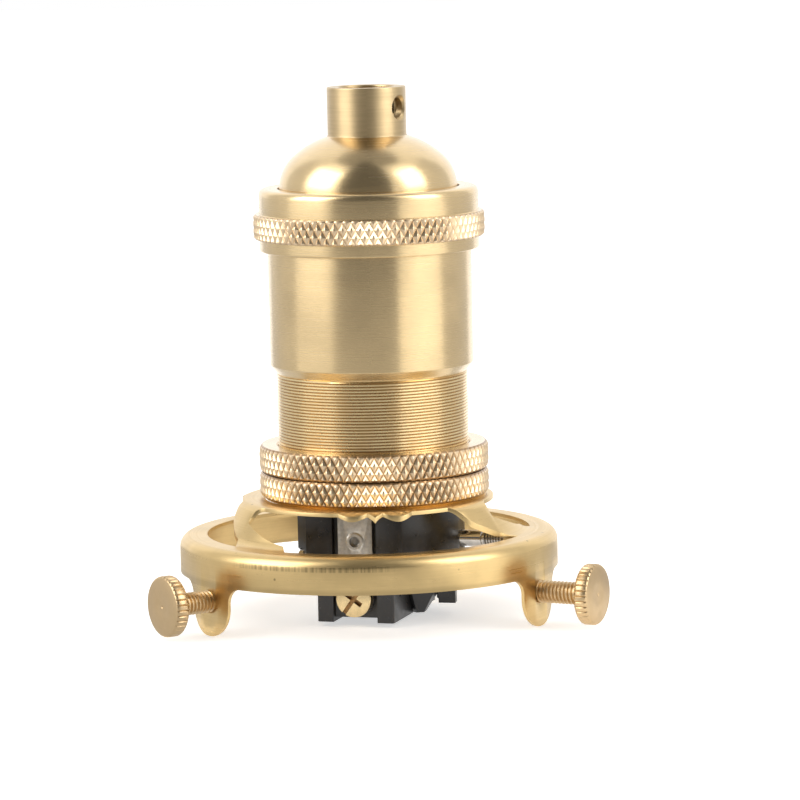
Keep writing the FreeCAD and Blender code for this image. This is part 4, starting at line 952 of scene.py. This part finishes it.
class LAMPHOLDER_OT_thumb_screws(bpy.types.Operator):
    """Three thumb screws with straight-knurled disc heads"""
    bl_idname = "lampholder.thumb_screws"
    bl_label = "Thumb screws"

    def execute(self, context):
        settings = context.scene.lamp_holder
        for side, azimuth in (("left", -57), ("right", 63), ("back", 183)):
            node = "thumb_screw_" + side
            direction = outward(azimuth)
            tip, face = span_of(node, direction)
            low, high = heights_of(node)
            place = placed_as(node, direction, 0)
            screw = new_piece(node + "_turning", self.parts(settings, tip, face, (high - low) / 2), place)
            dress(screw, "thumb_" + side, "screw_brass", settings, [node])
        return {"FINISHED"}

    def parts(self, settings, tip, face, radius):
        """Head and threaded shank, drawn along +Z from tip to face."""
        count = 34
        columns_per_flute = 10
        columns = count * columns_per_flute
        depth = 0.19
        head_height = 2.4
        back = face - head_height
        crest = 1.95
        root = 1.6
        fluted = flutes(count, radius, depth, columns)
        dimple = [(CENTRE, face - 0.16), (0.22, face - 0.1), (0.34, face - 0.03)]
        dial = [(share * radius, face - dip)
                for share, dip in ((0.3, 0.02), (0.33, 0.0), (0.6, 0.0), (0.63, 0.02))]
        rim = [(radius - 0.42, face), (radius - 0.28, face - 0.06)]
        rim += [(fluted - 0.12, face - 0.2), (fluted, face - 0.45)]
        rim += [(fluted, back + 0.45), (fluted - 0.12, back + 0.2)]
        rim += [(radius - 0.32, back + 0.03), (radius - 0.5, back)]
        shank = [(root + 0.5, back), (root, back - 0.35)]
        shank += [(root, tip + 0.3), (root - 0.35, tip), (CENTRE, tip)]
        rows = dimple + dial + rim + shank
        radii = np.array([np.full(columns, out) for out, up in rows])
        heights = np.array([np.full(columns, up) for out, up in rows])
        pitch = settings.thread.screw_pitch / MM
        ridge = thread(coarse_turn(root, crest), pitch, tip + 0.15, back - 0.25, root, SMALL_COLUMNS)
        return [skin(radii, heights, flipped=True), ridge]


class LAMPHOLDER_OT_core(bpy.types.Operator):
    """Moulded core, its cover and its sleeve"""
    bl_idname = "lampholder.core"
    bl_label = "Moulded core"

    def execute(self, context):
        settings = context.scene.lamp_holder
        core = softened_copy("core_body", "core_moulding", 0.22, 3)
        dress(core, "holder", "moulded_phenolic", settings, ["core_body"], 35)
        for node in ("core_cover", "socket_sleeve", "switch_rotor"):
            dress_node(node, "moulded_phenolic", settings)
        return {"FINISHED"}


def cheese_head(radius, height, shank_radius, shank_length):
    """Profile of a turned screw, head upwards, from its seat at zero."""
    return rounded(
        [
            (CENTRE, height, 0),
            (radius, height, 0.3),
            (radius, 0, 0.1),
            (shank_radius, 0, 0),
            (shank_radius, -shank_length, 0),
            (CENTRE, -shank_length, 0),
        ],
        0.2,
        5,
    )


class LAMPHOLDER_OT_terminals(bpy.types.Operator):
    """Terminal strips with their eyelets and screws, and the small side screw"""
    bl_idname = "lampholder.terminals"
    bl_label = "Terminals"

    def execute(self, context):
        settings = context.scene.lamp_holder
        core_azimuth = -17
        for side, azimuth in (("front", core_azimuth), ("back", core_azimuth + 180)):
            strip = softened_copy(side + "_strip", side + "_strip_pressing", 0.08)
            dress(strip, "holder", "tinned_strip", settings, [side + "_strip"])
            dress_node(side + "_eyelet", "tinned_strip", settings)
            self.eyelet_thread(side + "_eyelet", azimuth, settings)
            self.terminal_screw(side, azimuth, settings)
        self.side_screw(core_azimuth - 40, settings)
        return {"FINISHED"}

    def terminal_screw(self, side, azimuth, settings):
        """Brass screw with a slot right across and a shorter one square to it."""
        node = side + "_terminal_screw"
        head_height = 1.7
        shank_radius = 1.5
        slot_turn = 38
        cross_width = 0.8
        cross_depth = 0.85
        cross_share = 0.55
        piece, place, radius = self.turned_screw(node, azimuth, head_height, shank_radius)
        slot = self.slot_place(place, head_height, slot_turn)
        cross = (cross_width, cross_share * 2 * radius, 2 * cross_depth)
        self.cut_slot(piece, radius, slot)
        cut(piece, block("cross_cutter", cross, slot))
        dress(piece, side + "_terminal", "screw_brass", settings, [node], 28, "polished_brass")
        self.paint_slot(piece, place, radius, head_height, settings)

    def side_screw(self, azimuth, settings):
        """Small nickel screw with a plain slot."""
        head_height = 1.2
        shank_radius = 1.0
        slot_turn = 8
        piece, place, radius = self.turned_screw("side_screw", azimuth, head_height, shank_radius)
        self.cut_slot(piece, radius, self.slot_place(place, head_height, slot_turn))
        dress(piece, "holder", "nickel_plate", settings, ["side_screw"])

    def turned_screw(self, node, azimuth, head_height, shank_radius):
        """The screw of a node without its slot, with its place and the radius of its head."""
        direction = outward(azimuth)
        tip, face = span_of(node, direction)
        low, high = heights_of(node)
        radius = (high - low) / 2
        seat = face - head_height
        place = placed_as(node, direction, seat)
        profile = cheese_head(radius, head_height, shank_radius, seat - tip)
        return new_piece(node + "_turning", [turned(profile, SMALL_COLUMNS)], place), place, radius

    def slot_place(self, place, head_height, turn):
        return place @ Matrix.Translation((0, 0, head_height)) @ Matrix.Rotation(math.radians(turn), 4, "Z")

    def cut_slot(self, piece, radius, slot):
        width = 0.75
        depth = 0.8
        cut(piece, block("slot_cutter", (2 * radius + 1, width, 2 * depth), slot))

    def paint_slot(self, piece, place, radius, head_height, settings):
        """Give the walls and floor of the slot painted shade: a darker, duller finish than the head."""
        rim = 0.35
        dip = 0.12
        deepest = 1.0
        piece.data.materials.append(material_for("slot_brass", settings))
        seen_from_seat = place.inverted()
        for polygon in piece.data.polygons:
            centre = seen_from_seat @ (polygon.center / MM)
            if dip < head_height - centre.z < deepest and math.hypot(centre.x, centre.y) < radius - rim:
                polygon.material_index = 1

    def eyelet_thread(self, node, azimuth, settings):
        """Threaded tube inside an eyelet, which shows as a ring in its hole."""
        root = 0.92
        crest = 0.62
        pitch = 0.4
        columns = 48
        direction = outward(azimuth)
        back, face = span_of(node, direction)
        turn = [(0.0, root), (0.5, crest)]
        lining = thread(turn, pitch, back + 0.2, face - 0.35, root, columns, flipped=True)
        floor = [(root, face - 0.7), (CENTRE, face - 0.62), (CENTRE, face - 0.8), (root, face - 0.8)]
        tube = new_piece(node + "_thread", [lining, turned(floor, columns)], placed_as(node, direction, 0))
        # The tube takes a darker tin as painted shade inside the hole.
        dress(tube, "holder", "tinned_strip", settings, (), 28, "eyelet_tube")


class LAMPHOLDER_OT_switch_shaft(bpy.types.Operator):
    """Nickel switch shaft with a threaded end"""
    bl_idname = "lampholder.switch_shaft"
    bl_label = "Switch shaft"

    def execute(self, context):
        settings = context.scene.lamp_holder
        direction = outward(73)
        blind, end = span_of("switch_shaft", direction)
        low, high = heights_of("switch_shaft")
        radius = (high - low) / 2
        root = 1.08
        crest = 1.42
        shoulder = end - 4.2
        profile = rounded(
            [
                (CENTRE, end, 0),
                (root, end, 0.15),
                (root, shoulder, 0),
                (radius, shoulder, 0.12),
                (radius, blind, 0.1),
                (CENTRE, blind, 0),
            ],
            0.1,
        )
        pitch = settings.thread.shaft_pitch / MM
        ridge = thread(coarse_turn(root, crest), pitch, shoulder + 0.35, end - 0.2, root, SMALL_COLUMNS)
        parts = [turned(profile, SMALL_COLUMNS), ridge]
        shaft = new_piece("switch_shaft_turning", parts, standing_on(direction, 0, (low + high) / 2))
        dress(shaft, "switch", "nickel_plate", settings, ["switch_shaft"])
        return {"FINISHED"}


class LAMPHOLDER_OT_lamp_contacts(bpy.types.Operator):
    """Lamp screw shell, its rivets and the contacts, which keep their solid shapes"""
    bl_idname = "lampholder.lamp_contacts"
    bl_label = "Lamp contacts"

    def execute(self, context):
        settings = context.scene.lamp_holder
        for node in ("lamp_screw_shell", "shell_rivets"):
            dress_node(node, "rolled_brass", settings)
        for node in ("centre_contact", "switch_spring"):
            dress_node(node, "spring_bronze", settings)
        return {"FINISHED"}


# Studio
SEEN_BY = ("Is Camera Ray", "Is Glossy Ray", "Is Transmission Ray")
MIDDLE = (CAD_BOX[0] + CAD_BOX[1]) / 2
WHITE = (1, 1, 1, 1)
CARD_STEPS = 12


def seen_directly(tree):
    """One for rays of the kinds in SEEN_BY, nought for all others."""
    path = add_node(tree, "ShaderNodeLightPath")
    seen = path.outputs[SEEN_BY[0]]
    for ray in SEEN_BY[1:]:
        either = add_node(tree, "ShaderNodeMath", {0: seen, 1: path.outputs[ray]}, operation="MAXIMUM")
        seen = either.outputs[0]
    return seen


def raised(azimuth, rise):
    """Direction at an azimuth that rises from the floor by an angle, both in degrees."""
    return outward(azimuth) * math.cos(math.radians(rise)) + UP * math.sin(math.radians(rise))


class LAMPHOLDER_OT_studio(bpy.types.Operator):
    """White floor, softboxes, cards, world and the camera"""
    bl_idname = "lampholder.studio"
    bl_label = "Studio"

    def execute(self, context):
        studio = context.scene.lamp_holder.studio
        self.floor()
        self.world(context.scene, studio)
        self.softboxes(studio)
        self.cards(studio)
        self.camera(context.scene, studio)
        context.scene.view_settings.view_transform = "Standard"
        return {"FINISHED"}

    def floor(self):
        """White paper that glows a little, so that it renders white round the shadow."""
        level = CAD_BOX[0].z
        half = 3.0
        glow_level = 0.55
        corners = [(x * half, y * half, level) for x, y in ((-1, -1), (1, -1), (1, 1), (-1, 1))]
        mesh = bpy.data.meshes.new("paper_floor")
        mesh.from_pydata(corners, [], [(0, 1, 2, 3)])
        material, tree, shader = new_material("white_paper")
        glow = add_node(tree, "ShaderNodeMath", {0: seen_directly(tree), 1: glow_level},
                        operation="MULTIPLY")
        connect(tree, shader, {
            "Base Color": (*linear("#F4F3F1"), 1),
            "Roughness": 0.9,
            "Emission Color": WHITE,
            "Emission Strength": glow.outputs[0],
        })
        mesh.materials.append(material)
        floor = linked("paper_floor", mesh)

    def world(self, scene, studio):
        """Even room light; the background itself is white to the camera and in reflections."""
        world = bpy.data.worlds.new("white_room")
        world.use_nodes = True
        scene.world = world
        tree = world.node_tree
        tree.nodes.clear()
        white = add_node(tree, "ShaderNodeBackground", {"Color": WHITE, "Strength": 1.0})
        room = add_node(tree, "ShaderNodeBackground", {"Color": WHITE, "Strength": studio.room_light})
        both = add_node(tree, "ShaderNodeMixShader",
                        {0: seen_directly(tree), 1: room.outputs[0], 2: white.outputs[0]})
        add_node(tree, "ShaderNodeOutputWorld", {"Surface": both.outputs[0]})

    def softboxes(self, studio):
        """Two tall softboxes in front, left and right of the camera; their sizes are in metres."""
        distance = 1.6
        rise = 30
        height = 1.25
        for side, azimuth, width in (("left", -68, 1.1), ("right", 65, 0.86)):
            direction = raised(azimuth, rise)
            lamp = bpy.data.lights.new("softbox_" + side, "AREA")
            lamp.shape = "RECTANGLE"
            lamp.size = width
            lamp.size_y = height
            lamp.energy = studio.softbox_level * math.pi * width * height
            softbox = linked("softbox_" + side, lamp)
            softbox.location = MIDDLE + direction * distance
            softbox.rotation_mode = "QUATERNION"
            softbox.rotation_quaternion = direction.to_track_quat("Z", "Y")
            softbox.visible_camera = False

    def cards(self, studio):
        """Boards that only reflections see: dark in front and above, dim at the sides and on the table."""
        distance = 2.4
        clearance = 1 * MM
        table = Vector((0, 0, CAD_BOX[0].z + clearance))
        sides = np.linspace(-1, 1, CARD_STEPS + 1)
        # Name, azimuth of the middle, half its width, lowest and highest rise in degrees, brightness.
        for name, azimuth, half, low, high, level in (
            ("front_card", -3, 35, -3, 90, studio.front_card),
            ("left_card", -118, 26, -3, 48, studio.side_card),
            ("right_card", 109, 26, -3, 48, studio.side_card),
            ("ceiling_card", 180, 142, 66, 90, studio.ceiling),
            ("left_glow", -68, 24, -3, 66, 1.4),
            ("right_glow", 63, 19, -3, 66, 1.25),
            ("back_glow", 180, 48, -3, 66, 1.25),
        ):
            rises = np.linspace(low, high, CARD_STEPS + 1)
            self.card(name, level, [MIDDLE + raised(azimuth + half * across, rise) * distance
                                    for rise in rises for across in sides])
        # Name, azimuth of the middle, half its width in degrees, nearest and farthest edge, brightness.
        for name, azimuth, half, near, far, level in (
            ("table_front", -6, 37, 0.15, 2.3, 0.55),
            ("table_left", -66, 23, 0.15, 2.3, 0.95),
            ("table_far_left", -120, 30, 0.15, 2.3, 0.7),
            ("table_right", 114, 27, 0.06, 2.3, 0.7),
            ("table_foot", -57, 93, 0.037, 0.15, 0.76),
        ):
            reaches = np.geomspace(near, far, CARD_STEPS + 1)
            self.card(name, level, [table + outward(azimuth + half * across) * reach
                                    for reach in reaches for across in sides])

    def card(self, name, level, points):
        """A board drawn as a grid of points, which glows evenly and only in reflections."""
        width = CARD_STEPS + 1
        firsts = [row * width + column for row in range(CARD_STEPS) for column in range(CARD_STEPS)]
        faces = [(first, first + 1, first + width + 1, first + width) for first in firsts]
        mesh = bpy.data.meshes.new(name)
        mesh.from_pydata(points, [], faces)
        material, tree, shader = new_material(name + "_board")
        tree.nodes.remove(shader)
        glow = add_node(tree, "ShaderNodeEmission", {"Color": WHITE, "Strength": level})
        connect(tree, tree.nodes["Material Output"], {"Surface": glow.outputs[0]})
        mesh.materials.append(material)
        card = linked(name, mesh)
        card.visible_camera = False
        card.visible_diffuse = False
        card.visible_shadow = False
        card.visible_transmission = False

    def camera(self, scene, studio):
        data = bpy.data.cameras.new("photo_camera")
        data.lens = studio.lens
        data.sensor_width = 36
        data.shift_x = studio.shift
        data.clip_start = 0.01
        data.clip_end = 50
        camera = linked("photo_camera", data)
        tilt = Matrix.Rotation(math.pi / 2 - studio.camera_tilt, 4, "X")
        roll = Matrix.Rotation(-studio.camera_roll, 4, "Z")
        place = Matrix.Translation((0, -studio.camera_distance, studio.camera_height))
        camera.matrix_world = place @ tilt @ roll
        scene.camera = camera


PIECES = (
    LAMPHOLDER_OT_studio,
    LAMPHOLDER_OT_cap,
    LAMPHOLDER_OT_coupling_ring,
    LAMPHOLDER_OT_shell,
    LAMPHOLDER_OT_ring_nuts,
    LAMPHOLDER_OT_shade_fitter,
    LAMPHOLDER_OT_thumb_screws,
    LAMPHOLDER_OT_core,
    LAMPHOLDER_OT_terminals,
    LAMPHOLDER_OT_switch_shaft,
    LAMPHOLDER_OT_lamp_contacts,
)


class LAMPHOLDER_PT_sidebar(bpy.types.Panel):
    """Lists the pieces of the lamp holder"""
    bl_idname = "LAMPHOLDER_PT_sidebar"
    bl_label = "Lamp holder"
    bl_space_type = "VIEW_3D"
    bl_region_type = "UI"
    bl_category = "Lamp holder"

    def draw(self, context):
        settings = context.scene.lamp_holder
        for group in (settings.knurl, settings.thread, settings.metal, settings.studio):
            box = self.layout.box()
            for name in group.bl_rna.properties.keys():
                if name not in ("rna_type", "name"):
                    box.prop(group, name)
        for piece in PIECES:
            self.layout.operator(piece.bl_idname)


SETTINGS = (KnurlSizes, ThreadSizes, MetalColours, StudioSizes, LampHolderSettings)
CLASSES = (*SETTINGS, *PIECES, LAMPHOLDER_PT_sidebar)


def register():
    for each in CLASSES:
        bpy.utils.register_class(each)
    bpy.types.Scene.lamp_holder = PointerProperty(type=LampHolderSettings)


def unregister():
    del bpy.types.Scene.lamp_holder
    for each in reversed(CLASSES):
        bpy.utils.unregister_class(each)


def main():
    register()
    for piece in PIECES:
        family, action = piece.bl_idname.split(".")
        getattr(getattr(bpy.ops, family), action)()


if __name__ == "__main__":
    main()
